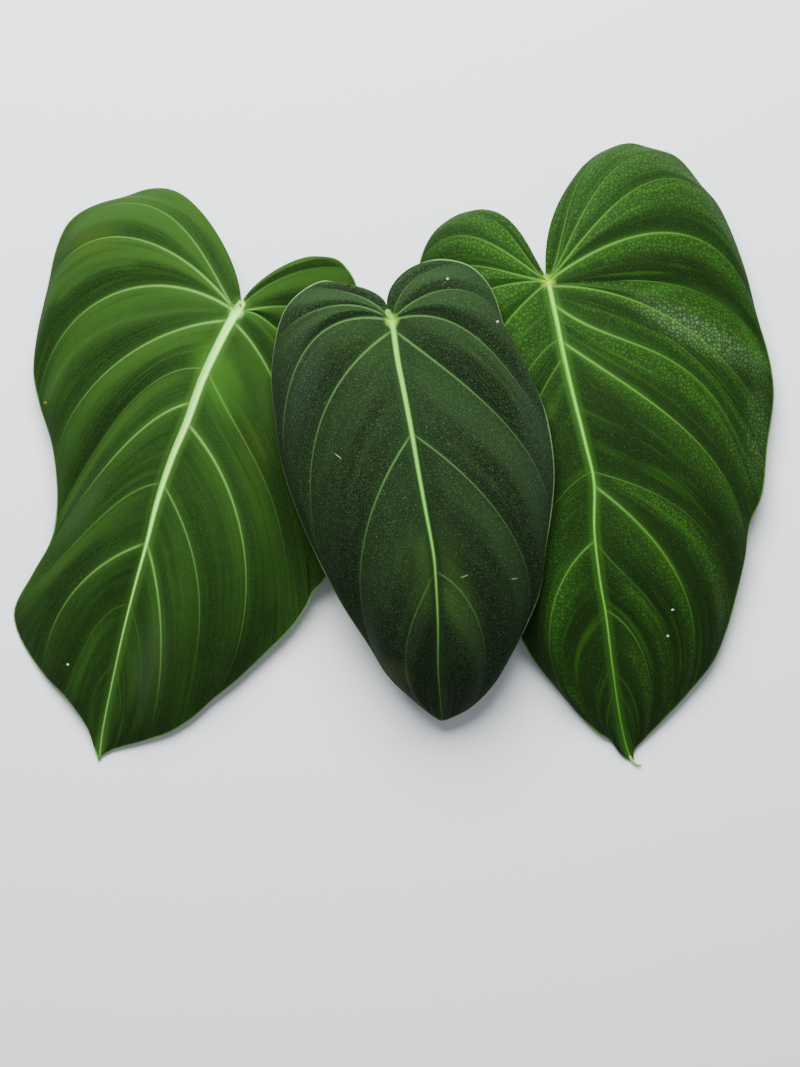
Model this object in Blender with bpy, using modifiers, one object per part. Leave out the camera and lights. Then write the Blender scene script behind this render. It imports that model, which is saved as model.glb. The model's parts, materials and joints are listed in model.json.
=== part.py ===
"""Velvet-leaved aroid with three heart-shaped blades on a short creeping stem, laid on its back."""

from dataclasses import dataclass
from math import atan2
from math import cos
from math import pi
from math import sin

import bmesh
import bpy
from mathutils import Vector

MM = 0.001

# How high each blade lies is folded into its plan: the places below are as seen from straight
# above, from EYE_HEIGHT over the plane at SEEN_LEVEL, with the eye over EYE_PLAN (all in mm).
EYE_HEIGHT = 900.0
SEEN_LEVEL = 30.0
EYE_PLAN = (0.0, -35.0)

# Blade sheet, in mm: lamina, lateral vein and midrib keel thickness.
LAMINA_THICK = 0.95
VEIN_THICK = 1.5
KEEL_THICK = 4.0
COLLAR_RADIUS = 3.5
COLLAR_FALL = 0.25

# Relief of the blade, in mm unless said.
VALLEY_DEPTH = 1.3
CROWN_HEIGHT = 2.4
DROOP_POWER = 1.7
DENT_POWER = 2
QUILT_SHARE = 0.085
QUILT_LIMIT = 1.7

# Grid: columns from midrib to margin as shares of a vein's length, and the row spacing in mm.
COLUMNS = (0.0, 0.035, 0.1, 0.19, 0.29, 0.39, 0.5, 0.61, 0.72, 0.83, 0.93, 1.0)
ROW_SPACING = 9.0
MIN_ROWS = 2
LEAST_STEP = 0.5

# Petiole: half-round section, flat side down, with widths in mm at the stem and at the blade.
PETIOLE_BASE_WIDTH = 8.6
PETIOLE_TOP_WIDTH = 5.4
PETIOLE_ROUNDNESS = 0.92
TOP_REACH = 1.4
TOP_LEAN = 1.0
TOP_LENGTH = 7.0
TOP_GAP = 1.0
JOIN_GAP = 0.35
SECTION_POINTS = 12
PETIOLE_STEPS = 26

# Creeping stem, in mm.
STEM_SIDES = 16
STEM_STEPS = 22
STEM_RADIUS = 7.6
RING_HEIGHT = 0.9
RING_SHARPNESS = 3.2
BOSS_SIDES = 12
BOSS_ROOT_RADIUS = 6.2
BOSS_TIP_RADIUS = 4.2
BOSS_LENGTH = 17.0
ROOT_SIDES_RESOLUTION = 1
ROOT_STEPS = 9


def colour_material(name, rgb, roughness):
    """A plain material with the part's colour."""
    material = bpy.data.materials.new(name)
    material.use_nodes = True
    shader = material.node_tree.nodes["Principled BSDF"]
    shader.inputs["Base Color"].default_value = (*rgb, 1.0)
    shader.inputs["Roughness"].default_value = roughness
    shader.inputs["Metallic"].default_value = 0.0
    return material


def settle(x, y, z):
    """A place seen from above, drawn in towards the eye's axis by its height, in mm."""
    share = 1.0 - (z - SEEN_LEVEL) / EYE_HEIGHT
    return Vector((EYE_PLAN[0] + (x - EYE_PLAN[0]) * share, EYE_PLAN[1] + (y - EYE_PLAN[1]) * share, z))


def cubic_between(values, knots, at):
    """Smooth curve through values at rising knots, read at one place."""
    last = len(knots) - 1
    k = 0
    while k < last - 1 and at > knots[k + 1]:
        k += 1
    span = knots[k + 1] - knots[k]
    f = (at - knots[k]) / span
    slope = []
    for j in (k, k + 1):
        low = max(j - 1, 0)
        high = min(j + 1, last)
        slope.append((values[high] - values[low]) / (knots[high] - knots[low]) * span)
    f2 = f * f
    f3 = f2 * f
    start = values[k] * (2 * f3 - 3 * f2 + 1) + slope[0] * (f3 - 2 * f2 + f)
    end = values[k + 1] * (3 * f2 - 2 * f3) + slope[1] * (f3 - f2)
    return start + end


def running_lengths(points):
    """Distance along a chain of points, from its first one."""
    lengths = [0.0]
    for a, b in zip(points, points[1:]):
        lengths.append(lengths[-1] + max((b - a).length, 0.01))
    return lengths


def polar(offset):
    """Length and turn of an offset, the turn counted from straight down."""
    return Vector((offset.length, atan2(offset.x, -offset.y)))


def unpolar(pair):
    """The offset of a length and a turn."""
    return Vector((pair.x * sin(pair.y), -pair.x * cos(pair.y)))


def relief(f, t, length, spacing):
    """Crown of a half, valley at the midrib, and the swelling between two veins, in mm."""
    ease = min(length / 45.0, 1.0)
    valley = VALLEY_DEPTH * min(t * length / 3.0, 1.0) * ease * (1 - t)
    crown = CROWN_HEIGHT * sin(pi * t) * ease
    swell = min(spacing * min(t / 0.66, 1.0) * QUILT_SHARE, QUILT_LIMIT) * sin(pi * f) ** 2
    fade = min(t / 0.15, 1.0) * min((1 - t) / 0.12, 1.0)
    return valley + crown + swell * fade * ease


@dataclass
class Outline:
    """One half's margin, from the sinus to the tip, as (x, y, z) in mm."""

    points: list

    def __post_init__(self):
        self.points = [Vector(p) for p in self.points]
        self.knots = running_lengths(self.points)

    def at(self, length):
        """Place on the margin at a length from the sinus."""
        return cubic_between(self.points, self.knots, min(max(length, 0.0), self.knots[-1]))

    def nearest(self, place):
        """Length from the sinus of the margin's point nearest to (x, y)."""
        steps = 900
        target = Vector(place)
        lengths = [self.knots[-1] * i / steps for i in range(steps + 1)]
        return min(lengths, key=lambda length: (self.at(length).xy - target).length)


@dataclass
class Vein:
    """A lateral vein seen from above: its places at a third and two thirds, and on the margin."""

    third: tuple
    two_thirds: tuple
    end: tuple


@dataclass
class Row:
    """Where a pair of veins leaves the midrib (its y in mm), with the left and the right one."""

    start_y: float
    left: Vein = None
    right: Vein = None


@dataclass
class Blade:
    """A heart-shaped blade: its midrib from sinus to tip, both margins and its rows of veins."""

    name: str
    midrib: list
    left_margin: list
    right_margin: list
    rows: list

    def __post_init__(self):
        self.midrib = [Vector(p) for p in self.midrib]
        falls = [-p.y for p in self.midrib]
        self.falls = falls
        self.margins = {"left": Outline(self.left_margin), "right": Outline(self.right_margin)}
        self.junction = self.midrib[1]
        self.sides = {side: self._side(side) for side in ("left", "right")}

    def spine(self, y):
        """Place on the midrib at a given y."""
        return cubic_between(self.midrib, self.falls, -y)

    def _side(self, side):
        """Veins of one half: row number, start y, three offsets from the start, margin length."""
        margin = self.margins[side]
        found = []
        for number, row in enumerate(self.rows):
            vein = getattr(row, side)
            if vein is None:
                continue
            start = self.spine(row.start_y).xy
            reach = margin.nearest(vein.end)
            places = (Vector(vein.third), Vector(vein.two_thirds), margin.at(reach).xy)
            found.append((number, row.start_y, [polar(place - start) for place in places], reach))
        last = [Vector((0.0, offset.y)) for offset in found[-1][2]]
        found.append((len(self.rows), self.midrib[-1].y, last, margin.knots[-1]))
        return found

    def start_y(self, at):
        """The y on the midrib where the row at a given number starts."""
        number = min(int(at), len(self.rows) - 1)
        ends = [row.start_y for row in self.rows] + [self.midrib[-1].y]
        return ends[number] + (ends[number + 1] - ends[number]) * (at - number)

    def row_numbers(self):
        """All row numbers of the grid, closer together where the veins lie closer."""
        numbers = []
        for number in range(len(self.rows)):
            gaps = []
            for side in ("left", "right"):
                a = self.place(number, side, 0.75)
                b = self.place(number + 1, side, 0.75)
                gaps.append((a - b).length)
            count = max(MIN_ROWS, round(max(gaps) / ROW_SPACING))
            numbers += [number + i / count for i in range(count)]
        return numbers + [len(self.rows)]

    def place(self, at, side, t):
        """Place on the upper face: row number, half, and share of the way to the margin."""
        start_y = self.start_y(at)
        start = self.spine(start_y)
        veins = self.sides[side]
        k = 0
        while k < len(veins) - 2 and at > veins[k + 1][0]:
            k += 1
        before, after = veins[k], veins[k + 1]
        if before[1] - after[1] > LEAST_STEP:
            f = (before[1] - start_y) / (before[1] - after[1])
        else:
            f = (at - before[0]) / (after[0] - before[0])
        reach = before[3] + (after[3] - before[3]) * f
        knots = [vein[3] for vein in veins]
        offsets = []
        for i in range(3):
            offsets.append(unpolar(cubic_between([vein[2][i] for vein in veins], knots, reach)))
        edge = self.margins[side].at(reach)
        end = edge.xy - start.xy
        one = 13.5 * t * (2 / 3 - t) * (1 - t)
        two = 13.5 * t * (t - 1 / 3) * (1 - t)
        three = 4.5 * t * (t - 1 / 3) * (t - 2 / 3)
        plan = start.xy + offsets[0] * one + offsets[1] * two + offsets[2] * three
        plan += (end - offsets[2]) * t**DENT_POWER
        height = start.z + (edge.z - start.z) * t**DROOP_POWER
        spacing = (unpolar(after[2][1]) - unpolar(before[2][1])).length
        height += relief(f, t, end.length, spacing)
        return settle(plan.x, plan.y, height)

    def thickness(self, at, side, t):
        """Sheet thickness in mm, more on the veins and on the midrib's keel."""
        place = self.place(at, side, t)
        junction = settle(*self.junction)
        tip = settle(*self.midrib[-1])
        along = min(max((junction.y - place.y) / (junction.y - tip.y), 0.0), 1.0)
        keel = KEEL_THICK * (1 - along) ** 0.8
        thick = LAMINA_THICK
        numbers = [vein[0] for vein in self.sides[side][:-1]]
        if at in numbers and 0.0 < t < 0.9:
            thick = max(thick, VEIN_THICK * (1 - 0.35 * t))
        if t == 0.0:
            thick = max(thick, keel)
        outside = max((place.xy - junction.xy).length - COLLAR_RADIUS, 0.0)
        return max(thick, KEEL_THICK * (1 - COLLAR_FALL * outside))


def blade_object(blade, material):
    """A blade: a waved grid laid along its veins, then given its thickness downwards."""
    rows = blade.row_numbers()
    strip = [("left", t) for t in reversed(COLUMNS)] + [("right", t) for t in COLUMNS[1:]]
    bm = bmesh.new()
    bmesh.ops.create_grid(bm, x_segments=len(strip) - 1, y_segments=len(rows) - 1, size=0.5)
    weights = bm.verts.layers.deform.verify()
    for vert in bm.verts:
        column = round((vert.co.x + 0.5) * (len(strip) - 1))
        row = round((0.5 - vert.co.y) * (len(rows) - 1))
        side, t = strip[column]
        vert[weights][0] = blade.thickness(rows[row], side, t) / KEEL_THICK
        vert.co = blade.place(rows[row], side, t) * MM
    bmesh.ops.remove_doubles(bm, verts=bm.verts[:], dist=0.05 * MM)
    bmesh.ops.triangulate(bm, faces=bm.faces[:])
    bmesh.ops.recalc_face_normals(bm, faces=bm.faces[:])
    if sum(face.normal.z for face in bm.faces) < 0:
        bmesh.ops.reverse_faces(bm, faces=bm.faces[:])
    mesh = bpy.data.meshes.new(blade.name)
    bm.to_mesh(mesh)
    bm.free()
    obj = bpy.data.objects.new(blade.name, mesh)
    plant.objects.link(obj)
    obj.vertex_groups.new(name="thickness")
    wall = obj.modifiers.new("Sheet", "SOLIDIFY")
    wall.thickness = KEEL_THICK * MM
    wall.offset = -1.0
    wall.vertex_group = "thickness"
    wall.use_rim = True
    obj = as_mesh(obj, material)
    for vert in obj.data.vertices:
        vert.co.z = max(vert.co.z, 0.0)
    return obj


def as_mesh(obj, material):
    """The same shape as a plain mesh with its caps welded, under the same name."""
    bpy.context.view_layer.update()
    evaluated = obj.evaluated_get(bpy.context.evaluated_depsgraph_get())
    mesh = bpy.data.meshes.new_from_object(evaluated)
    name = obj.name
    matrix = obj.matrix_world.copy()
    bpy.data.objects.remove(obj)
    bm = bmesh.new()
    bm.from_mesh(mesh)
    bmesh.ops.remove_doubles(bm, verts=bm.verts[:], dist=0.01 * MM)
    bmesh.ops.triangulate(bm, faces=bm.faces[:])
    bmesh.ops.recalc_face_normals(bm, faces=bm.faces[:])
    bm.to_mesh(mesh)
    bm.free()
    mesh.materials.clear()
    mesh.materials.append(material)
    solid = bpy.data.objects.new(name, mesh)
    solid.matrix_world = matrix
    plant.objects.link(solid)
    return solid


def smooth_route(points, steps):
    """Even places along a smooth curve through a few points, in mm."""
    chain = [Vector(p) for p in points]
    knots = running_lengths(chain)
    return [cubic_between(chain, knots, knots[-1] * i / steps) for i in range(steps + 1)]


def poly_curve(name, route, radii):
    """A curve object along a route in mm, with a radius share at each point."""
    curve = bpy.data.curves.new(name, "CURVE")
    curve.dimensions = "3D"
    curve.twist_mode = "Z_UP"
    curve.use_fill_caps = True
    curve.render_resolution_u = 0
    spline = curve.splines.new("POLY")
    spline.points.add(len(route) - 1)
    for point, place, radius in zip(spline.points, route, radii):
        point.co = (*(place * MM), 1.0)
        point.radius = radius
    obj = bpy.data.objects.new(name, curve)
    plant.objects.link(obj)
    return obj


def half_round_profile():
    """The petiole's section, one mm wide: flat along its lower side, domed above."""
    curve = bpy.data.curves.new("petiole_section", "CURVE")
    curve.dimensions = "2D"
    curve.fill_mode = "NONE"
    spline = curve.splines.new("POLY")
    spline.points.add(SECTION_POINTS - 1)
    for i, point in enumerate(spline.points):
        angle = pi * i / (SECTION_POINTS - 1)
        point.co = (0.5 * cos(angle) * MM, PETIOLE_ROUNDNESS * sin(angle) * MM, 0.0, 1.0)
    spline.use_cyclic_u = True
    obj = bpy.data.objects.new("petiole_section", curve)
    obj.hide_render = True
    obj.display_type = "WIRE"
    guides.objects.link(obj)
    return obj


def petiole_route(points, blade):
    """The middle of a leaf stalk's flat side, ending upright just under its blade."""
    junction = settle(*blade.junction)
    arrive = (junction - Vector(points[-1])).xy.normalized().to_3d()
    under = junction - Vector((0, 0, KEEL_THICK))
    top = under + arrive * TOP_REACH - Vector((0, 0, TOP_GAP))
    bend = top - arrive * TOP_LEAN - Vector((0, 0, TOP_LENGTH))
    route = smooth_route([*points, bend, top], PETIOLE_STEPS)
    for place in route:
        place.z = max(place.z, 0.0)
    return route


def petiole_object(name, route, section, material):
    """A leaf stalk along a route, tapering towards the blade."""
    radii = []
    for i in range(PETIOLE_STEPS + 1):
        share = (i / PETIOLE_STEPS) ** 0.7
        radii.append(PETIOLE_BASE_WIDTH + (PETIOLE_TOP_WIDTH - PETIOLE_BASE_WIDTH) * share)
    obj = poly_curve(name, route, radii)
    obj.data.bevel_mode = "OBJECT"
    obj.data.bevel_object = section
    return as_mesh(obj, material)


def stem_radius(share):
    """Radius of the creeping stem along its length, with a ring where each leaf sits."""
    radius = STEM_RADIUS
    for ring in STEM_RINGS:
        distance = abs(share - ring) * STEM_LENGTH_SHARE
        radius += RING_HEIGHT / (1 + (distance / RING_SHARPNESS) ** 2)
    if share > BUD_START:
        radius *= 1 - ((share - BUD_START) / (1 - BUD_START)) ** 1.6 * 0.86
    return radius


def stem_object(routes, material):
    """The creeping stem with its bud, leaf bosses and roots, as one body."""
    shares = [i / STEM_STEPS for i in range(STEM_STEPS + 1)]
    route = smooth_route(STEM_AXIS, STEM_STEPS)
    body = poly_curve("creeping_stem", route, [stem_radius(share) for share in shares])
    body.data.bevel_depth = MM
    body.data.bevel_resolution = STEM_SIDES // 4 - 1
    body = as_mesh(body, material)
    extras = bpy.data.collections.new("stem_extras")
    bpy.context.scene.collection.children.link(extras)
    for route in routes.values():
        extras.objects.link(bpy.data.objects.new("boss", boss_mesh(route)))
    for number, points in enumerate(ROOTS):
        steps = ROOT_STEPS
        route = smooth_route(points, steps)
        radii = [1.7 - 1.1 * (i / steps) for i in range(steps + 1)]
        root = poly_curve(f"root_{number}", route, radii)
        root.data.bevel_depth = MM
        root.data.bevel_resolution = ROOT_SIDES_RESOLUTION
        root = as_mesh(root, material)
        plant.objects.unlink(root)
        extras.objects.link(root)
    union = body.modifiers.new("Grown together", "BOOLEAN")
    union.operation = "UNION"
    union.operand_type = "COLLECTION"
    union.collection = extras
    union.solver = "MANIFOLD"
    body = as_mesh(body, material)
    for obj in list(extras.objects):
        bpy.data.objects.remove(obj)
    bpy.data.collections.remove(extras)
    for vert in body.data.vertices:
        vert.co.z = max(vert.co.z, 0.0)
    return body


def boss_mesh(route):
    """A leaf's short base on the stem, with a flat end that meets its petiole."""
    along = (route[1] - route[0]).normalized()
    rise = (Vector((0, 0, 1)) - along * along.z).normalized()
    middle = route[0] + rise * PETIOLE_BASE_WIDTH * PETIOLE_ROUNDNESS * 0.46
    end = middle - along * JOIN_GAP
    start = end - along * BOSS_LENGTH
    bm = bmesh.new()
    bmesh.ops.create_cone(
        bm,
        cap_ends=True,
        segments=BOSS_SIDES,
        radius1=BOSS_ROOT_RADIUS * MM,
        radius2=BOSS_TIP_RADIUS * MM,
        depth=BOSS_LENGTH * MM,
    )
    turn = along.to_track_quat("Z", "Y").to_matrix().to_4x4()
    turn.translation = (start + end) / 2 * MM
    bmesh.ops.transform(bm, matrix=turn, verts=bm.verts[:])
    mesh = bpy.data.meshes.new("boss")
    bm.to_mesh(mesh)
    bm.free()
    return mesh


LEFT_BLADE = Blade(
    name="blade_left",
    midrib=[
        (-66.7, 61.3, 30.4),
        (-68.8, 58.0, 30.0),
        (-73.9, 49.0, 31.4),
        (-82.9, 30.2, 32.6),
        (-89.6, 11.7, 32.2),
        (-95.6, -2.5, 31.0),
        (-102.0, -21.6, 28.2),
        (-106.3, -38.6, 24.6),
        (-111.0, -55.6, 20.0),
        (-115.9, -74.8, 14.2),
        (-120.6, -96.0, 8.0),
        (-124.6, -116.0, 2.8),
        (-126.5, -130.6, 0.8),
    ],
    left_margin=[
        (-66.7, 61.3, 30.4),
        (-68.4, 70.5, 28.0),
        (-71.5, 80.5, 23.5),
        (-82.0, 98.5, 13.5),
        (-90.0, 106.5, 8.4),
        (-98.0, 110.0, 4.8),
        (-106.5, 109.7, 2.2),
        (-114.8, 106.9, 0.9),
        (-130.0, 102.3, 0.8),
        (-139.3, 95.7, 3.0),
        (-144.5, 84.7, 6.5),
        (-147.9, 69.3, 10.0),
        (-152.5, 48.7, 11.5),
        (-154.1, 32.0, 10.5),
        (-151.5, 18.9, 9.0),
        (-146.7, 3.9, 10.5),
        (-144.6, -10.0, 13.0),
        (-144.3, -23.7, 14.5),
        (-146.7, -37.6, 12.5),
        (-154.2, -51.4, 6.5),
        (-162.1, -66.8, 1.4),
        (-160.0, -78.0, 0.8),
        (-150.4, -93.4, 2.8),
        (-139.3, -105.6, 5.0),
        (-131.3, -117.3, 3.6),
        (-127.8, -127.4, 1.4),
        (-126.5, -130.6, 0.8),
    ],
    right_margin=[
        (-66.7, 61.3, 30.4),
        (-60.0, 70.0, 28.0),
        (-49.9, 77.4, 24.4),
        (-42.0, 80.4, 22.0),
        (-34.0, 81.4, 19.6),
        (-26.3, 80.2, 17.0),
        (-21.8, 76.0, 15.4),
        (-18.5, 70.3, 14.6),
        (-15.0, 55.0, 13.6),
        (-14.0, 30.0, 13.0),
        (-17.0, 0.0, 12.6),
        (-23.0, -30.0, 12.0),
        (-30.7, -53.2, 11.0),
        (-36.9, -60.4, 10.0),
        (-38.2, -64.1, 9.6),
        (-44.6, -73.7, 8.2),
        (-55.2, -84.4, 7.0),
        (-69.0, -97.3, 6.0),
        (-78.6, -104.8, 5.4),
        (-87.1, -112.6, 4.6),
        (-96.7, -118.6, 3.8),
        (-108.4, -122.5, 2.8),
        (-120.1, -125.9, 1.5),
        (-124.6, -128.3, 1.0),
        (-126.5, -130.6, 0.8),
    ],
    rows=[
        Row(61.3, Vein((-71, 80), (-82, 98.5), (-95, 109.3)), Vein((-59, 71), (-46, 79), (-34, 81.4))),
        Row(58.0, Vein((-83, 82.5), (-104, 102), (-139.5, 95.5)), Vein((-55, 69.5), (-38, 76), (-21, 76))),
        Row(58.0, Vein((-98, 84), (-127, 88.5), (-148, 69)), Vein((-55, 60.2), (-38, 59), (-14.5, 50))),
        Row(58.0, Vein((-105, 69), (-136, 55), (-152, 20)), Vein((-59.9, 56.9), (-45, 44), (-15.5, 12))),
        Row(54.5, Vein((-105, 45.5), (-131.5, 24), (-145.4, -5)), Vein((-56, 35), (-42, 0), (-30.5, -52))),
        Row(34.0, Vein((-101, 30), (-122, 9), (-145, -31)), Vein((-64.8, 2.9), (-52, -26.9), (-45.5, -74))),
        Row(20.0, Vein((-109.5, 7.8), (-131.5, -17), (-150, -45)), None),
        Row(11.5, None, Vein((-69.5, -24), (-65, -65), (-77, -103))),
        Row(
            -14.0,
            Vein((-121, -24), (-142, -45), (-160.8, -62.5)),
            Vein((-86, -49), (-85, -82), (-92, -115)),
        ),
        Row(
            -39.0,
            Vein((-128, -50.5), (-143.3, -69), (-150.4, -93.4)),
            Vein((-101, -67), (-101, -96), (-106, -121.5)),
        ),
        Row(
            -65.0,
            Vein((-126, -72), (-135, -88), (-141, -103.5)),
            Vein((-109, -85), (-110, -105), (-116, -124.8)),
        ),
        Row(
            -90.0,
            Vein((-126, -97), (-130, -107), (-132, -117)),
            Vein((-117.5, -103), (-118, -114), (-121, -126.2)),
        ),
    ],
)

MIDDLE_BLADE = Blade(
    name="blade_middle",
    midrib=[
        (-5.1, 58.1, 53.4),
        (-3.5, 54.5, 53.0),
        (-1.0, 38.0, 55.0),
        (1.0, 28.0, 56.0),
        (4.6, 9.3, 56.8),
        (7.7, -8.6, 56.2),
        (10.8, -25.6, 54.2),
        (14.0, -43.0, 50.6),
        (14.9, -53.0, 47.6),
        (15.9, -72.8, 40.0),
        (16.0, -92.5, 28.6),
        (17.3, -109.6, 14.5),
        (17.6, -113.8, 10.6),
    ],
    left_margin=[
        (-5.1, 58.1, 53.4),
        (-8.0, 64.4, 51.4),
        (-16.0, 68.4, 48.6),
        (-27.0, 70.6, 44.6),
        (-33.0, 71.1, 42.6),
        (-41.0, 67.1, 40.4),
        (-47.9, 59.9, 39.0),
        (-51.7, 49.6, 38.4),
        (-54.1, 30.8, 38.2),
        (-52.2, 10.2, 37.4),
        (-49.7, -5.9, 36.4),
        (-44.3, -23.0, 35.0),
        (-37.6, -39.1, 33.0),
        (-31.3, -52.3, 31.0),
        (-22.3, -68.4, 27.6),
        (-13.4, -81.8, 23.6),
        (-5.3, -94.8, 18.8),
        (5.5, -105.2, 14.4),
        (15.3, -112.9, 11.0),
        (17.6, -113.8, 10.6),
    ],
    right_margin=[
        (-5.1, 58.1, 53.4),
        (-4.5, 67.0, 51.4),
        (1.0, 74.3, 49.0),
        (9.0, 78.7, 46.4),
        (18.0, 80.3, 44.0),
        (28.8, 77.8, 41.8),
        (35.9, 71.6, 41.0),
        (40.4, 63.5, 41.2),
        (42.4, 56.8, 42.0),
        (44.2, 51.2, 42.6),
        (46.6, 46.2, 42.8),
        (50.4, 39.3, 42.8),
        (56.6, 27.7, 43.6),
        (61.5, 14.7, 43.8),
        (64.2, 0.3, 43.2),
        (64.9, -12.0, 42.0),
        (63.7, -26.3, 39.8),
        (61.2, -42.4, 36.6),
        (58.8, -59.4, 32.4),
        (53.4, -73.3, 28.2),
        (46.7, -86.3, 23.6),
        (39.5, -98.4, 18.6),
        (30.0, -108.0, 13.8),
        (20.6, -113.0, 11.0),
        (17.6, -113.8, 10.6),
    ],
    rows=[
        Row(58.1, Vein((-8, 64.4), (-16, 68.4), (-27, 70.6)), Vein((-4.5, 67), (1, 74.3), (9, 78.7))),
        Row(54.5, Vein((-12.5, 62.4), (-24, 66.6), (-38.5, 68.8)), Vein((1.5, 67), (10, 74), (24, 79.5))),
        Row(54.5, Vein((-22.5, 61.0), (-41, 56), (-52.6, 43)), Vein((11.5, 65.3), (29, 66.5), (43.2, 52.8))),
        Row(54.5, Vein((-35, 47.5), (-48, 19), (-47.2, -15)), Vein((25, 52), (46.5, 32), (63.2, 8))),
        Row(50.5, Vein((-28.0, 24), (-37.6, -11), (-31.6, -51.5)), Vein((27, 27.4), (52, 1.2), (63.2, -30))),
        Row(
            7.0,
            Vein((-11, -23.5), (-16.8, -56), (-9.5, -88.5)),
            Vein((30.5, -14), (50, -41.5), (53.2, -73.5)),
        ),
        Row(
            -51.0,
            Vein((5, -73), (2.4, -93), (12, -110.5)),
            Vein((29.5, -65), (35.8, -86.5), (30.5, -107.6)),
        ),
        Row(
            -80.0,
            Vein((10.8, -91), (10.4, -102), (14.6, -112.4)),
            Vein((21, -92), (22.5, -102), (21, -113)),
        ),
    ],
)

RIGHT_BLADE = Blade(
    name="blade_right",
    midrib=[
        (61.2, 73.1, 32.4),
        (62.2, 71.0, 32.0),
        (64.4, 60.9, 33.4),
        (66.0, 53.4, 34.4),
        (68.1, 42.8, 35.4),
        (72.3, 24.7, 35.8),
        (77.7, 3.4, 34.8),
        (81.4, -13.0, 32.8),
        (81.6, -33.0, 29.8),
        (83.9, -53.7, 25.6),
        (86.5, -69.3, 21.0),
        (89.1, -90.0, 14.0),
        (91.7, -108.6, 7.6),
        (94.0, -120.0, 3.6),
        (96.2, -127.6, 1.4),
        (98.6, -131.6, 0.8),
    ],
    left_margin=[
        (61.2, 73.1, 32.4),
        (54.7, 84.8, 27.0),
        (47.0, 95.7, 20.4),
        (36.0, 101.1, 15.0),
        (30.0, 100.7, 13.4),
        (22.3, 98.1, 12.8),
        (13.8, 91.2, 13.0),
        (8.6, 80.5, 13.6),
        (7.0, 66.0, 14.4),
        (8.5, 50.0, 15.6),
        (13.0, 20.0, 18.4),
        (20.5, -8.0, 21.4),
        (30.0, -38.0, 21.4),
        (41.0, -62.0, 16.0),
        (50.8, -79.1, 10.8),
        (56.5, -88.9, 8.2),
        (65.8, -100.3, 6.4),
        (75.1, -111.2, 4.8),
        (83.6, -119.2, 3.4),
        (88.1, -121.9, 2.4),
        (93.0, -128.2, 1.3),
        (98.6, -131.6, 0.8),
    ],
    right_margin=[
        (61.2, 73.1, 32.4),
        (61.1, 83.2, 28.4),
        (64.4, 96.0, 21.6),
        (69.7, 110.9, 12.6),
        (80.3, 122.6, 4.6),
        (90.0, 127.7, 1.2),
        (97.0, 129.1, 0.8),
        (104.3, 127.3, 0.9),
        (114.9, 124.1, 2.2),
        (119.7, 120.2, 3.8),
        (126.6, 111.4, 7.0),
        (133.5, 103.4, 9.0),
        (139.9, 90.1, 11.0),
        (145.7, 73.6, 12.0),
        (150.0, 56.6, 11.8),
        (155.3, 38.5, 9.8),
        (157.1, 22.6, 9.0),
        (154.3, 1.3, 11.0),
        (152.3, -18.5, 12.4),
        (147.1, -31.0, 13.0),
        (145.0, -45.5, 12.0),
        (141.4, -61.0, 10.0),
        (137.3, -75.5, 8.4),
        (131.6, -88.9, 7.2),
        (120.0, -103.4, 5.4),
        (109.8, -114.3, 3.8),
        (101.0, -123.2, 2.2),
        (98.2, -127.0, 1.4),
        (98.6, -131.6, 0.8),
    ],
    rows=[
        Row(73.1, Vein((54.7, 84.8), (47, 95.7), (36, 101.1)), Vein((62, 90), (67, 105), (76.6, 119.4))),
        Row(71.0, Vein((52, 82.5), (40, 96), (22, 98.1)), Vein((68.2, 91), (74.3, 111.5), (88.5, 126.8))),
        Row(71.0, Vein((45, 82.7), (26.5, 90.1), (8.6, 80.5)), Vein((74.5, 95), (91, 118.7), (116.5, 123))),
        Row(71.0, Vein((41.5, 75.7), (24, 77), (7, 66)), Vein((82, 94.8), (107, 113.2), (134.5, 101.8))),
        Row(71.0, Vein((43.6, 69.2), (24, 61), (9, 44)), Vein((94.3, 88.5), (126.5, 88.0), (150.2, 56.5))),
        Row(70.4, Vein((44.2, 52.9), (28, 29), (17, 6)), Vein((93, 71.2), (125, 66.4), (153.8, 41))),
        Row(68.8, None, Vein((96.5, 63.4), (130, 43.5), (155, 8))),
        Row(65.6, None, Vein((95, 55.8), (126.5, 36.0), (153, -8))),
        Row(61.5, None, Vein((96, 45.6), (126.5, 28.0), (151.6, -21))),
        Row(46.0, Vein((54.3, 34.3), (38, 5), (27, -29)), Vein((101.5, 23), (130, -2.5), (145.6, -38))),
        Row(39.0, Vein((59.6, 24.2), (47, -8), (38.5, -56)), None),
        Row(-9.0, Vein((65.8, -21.7), (54, -45), (49, -76)), Vein((109.5, -19.5), (130, -38), (138.5, -70))),
        Row(-15.0, None, Vein((106.5, -38), (122, -67.5), (120, -103.4))),
        Row(
            -38.0,
            Vein((67.2, -57.2), (62.8, -82.5), (71.8, -108)),
            Vein((98, -56), (112, -77), (112, -112)),
        ),
        Row(
            -67.0,
            Vein((77, -77), (73.3, -93), (82.5, -117.8)),
            Vein((98.5, -78.5), (105, -97), (104, -120.3)),
        ),
        Row(
            -98.0,
            Vein((88.0, -107), (87.0, -115), (90.0, -124)),
            Vein((96.4, -107), (99.0, -115.5), (99.6, -125.6)),
        ),
    ],
)

# The creeping stem's axis from its cut end to its bud, and the leaf bases on it, in mm.
STEM_AXIS = [
    (27.0, -73.0, 7.8),
    (25.6, -60.0, 8.0),
    (22.5, -44.0, 8.0),
    (18.5, -28.0, 7.8),
    (15.0, -14.0, 6.6),
    (13.2, -4.0, 6.0),
]
STEM_LENGTH_SHARE = 71.0
STEM_RINGS = (0.1, 0.2, 0.44, 0.68)
BUD_START = 0.76

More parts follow.
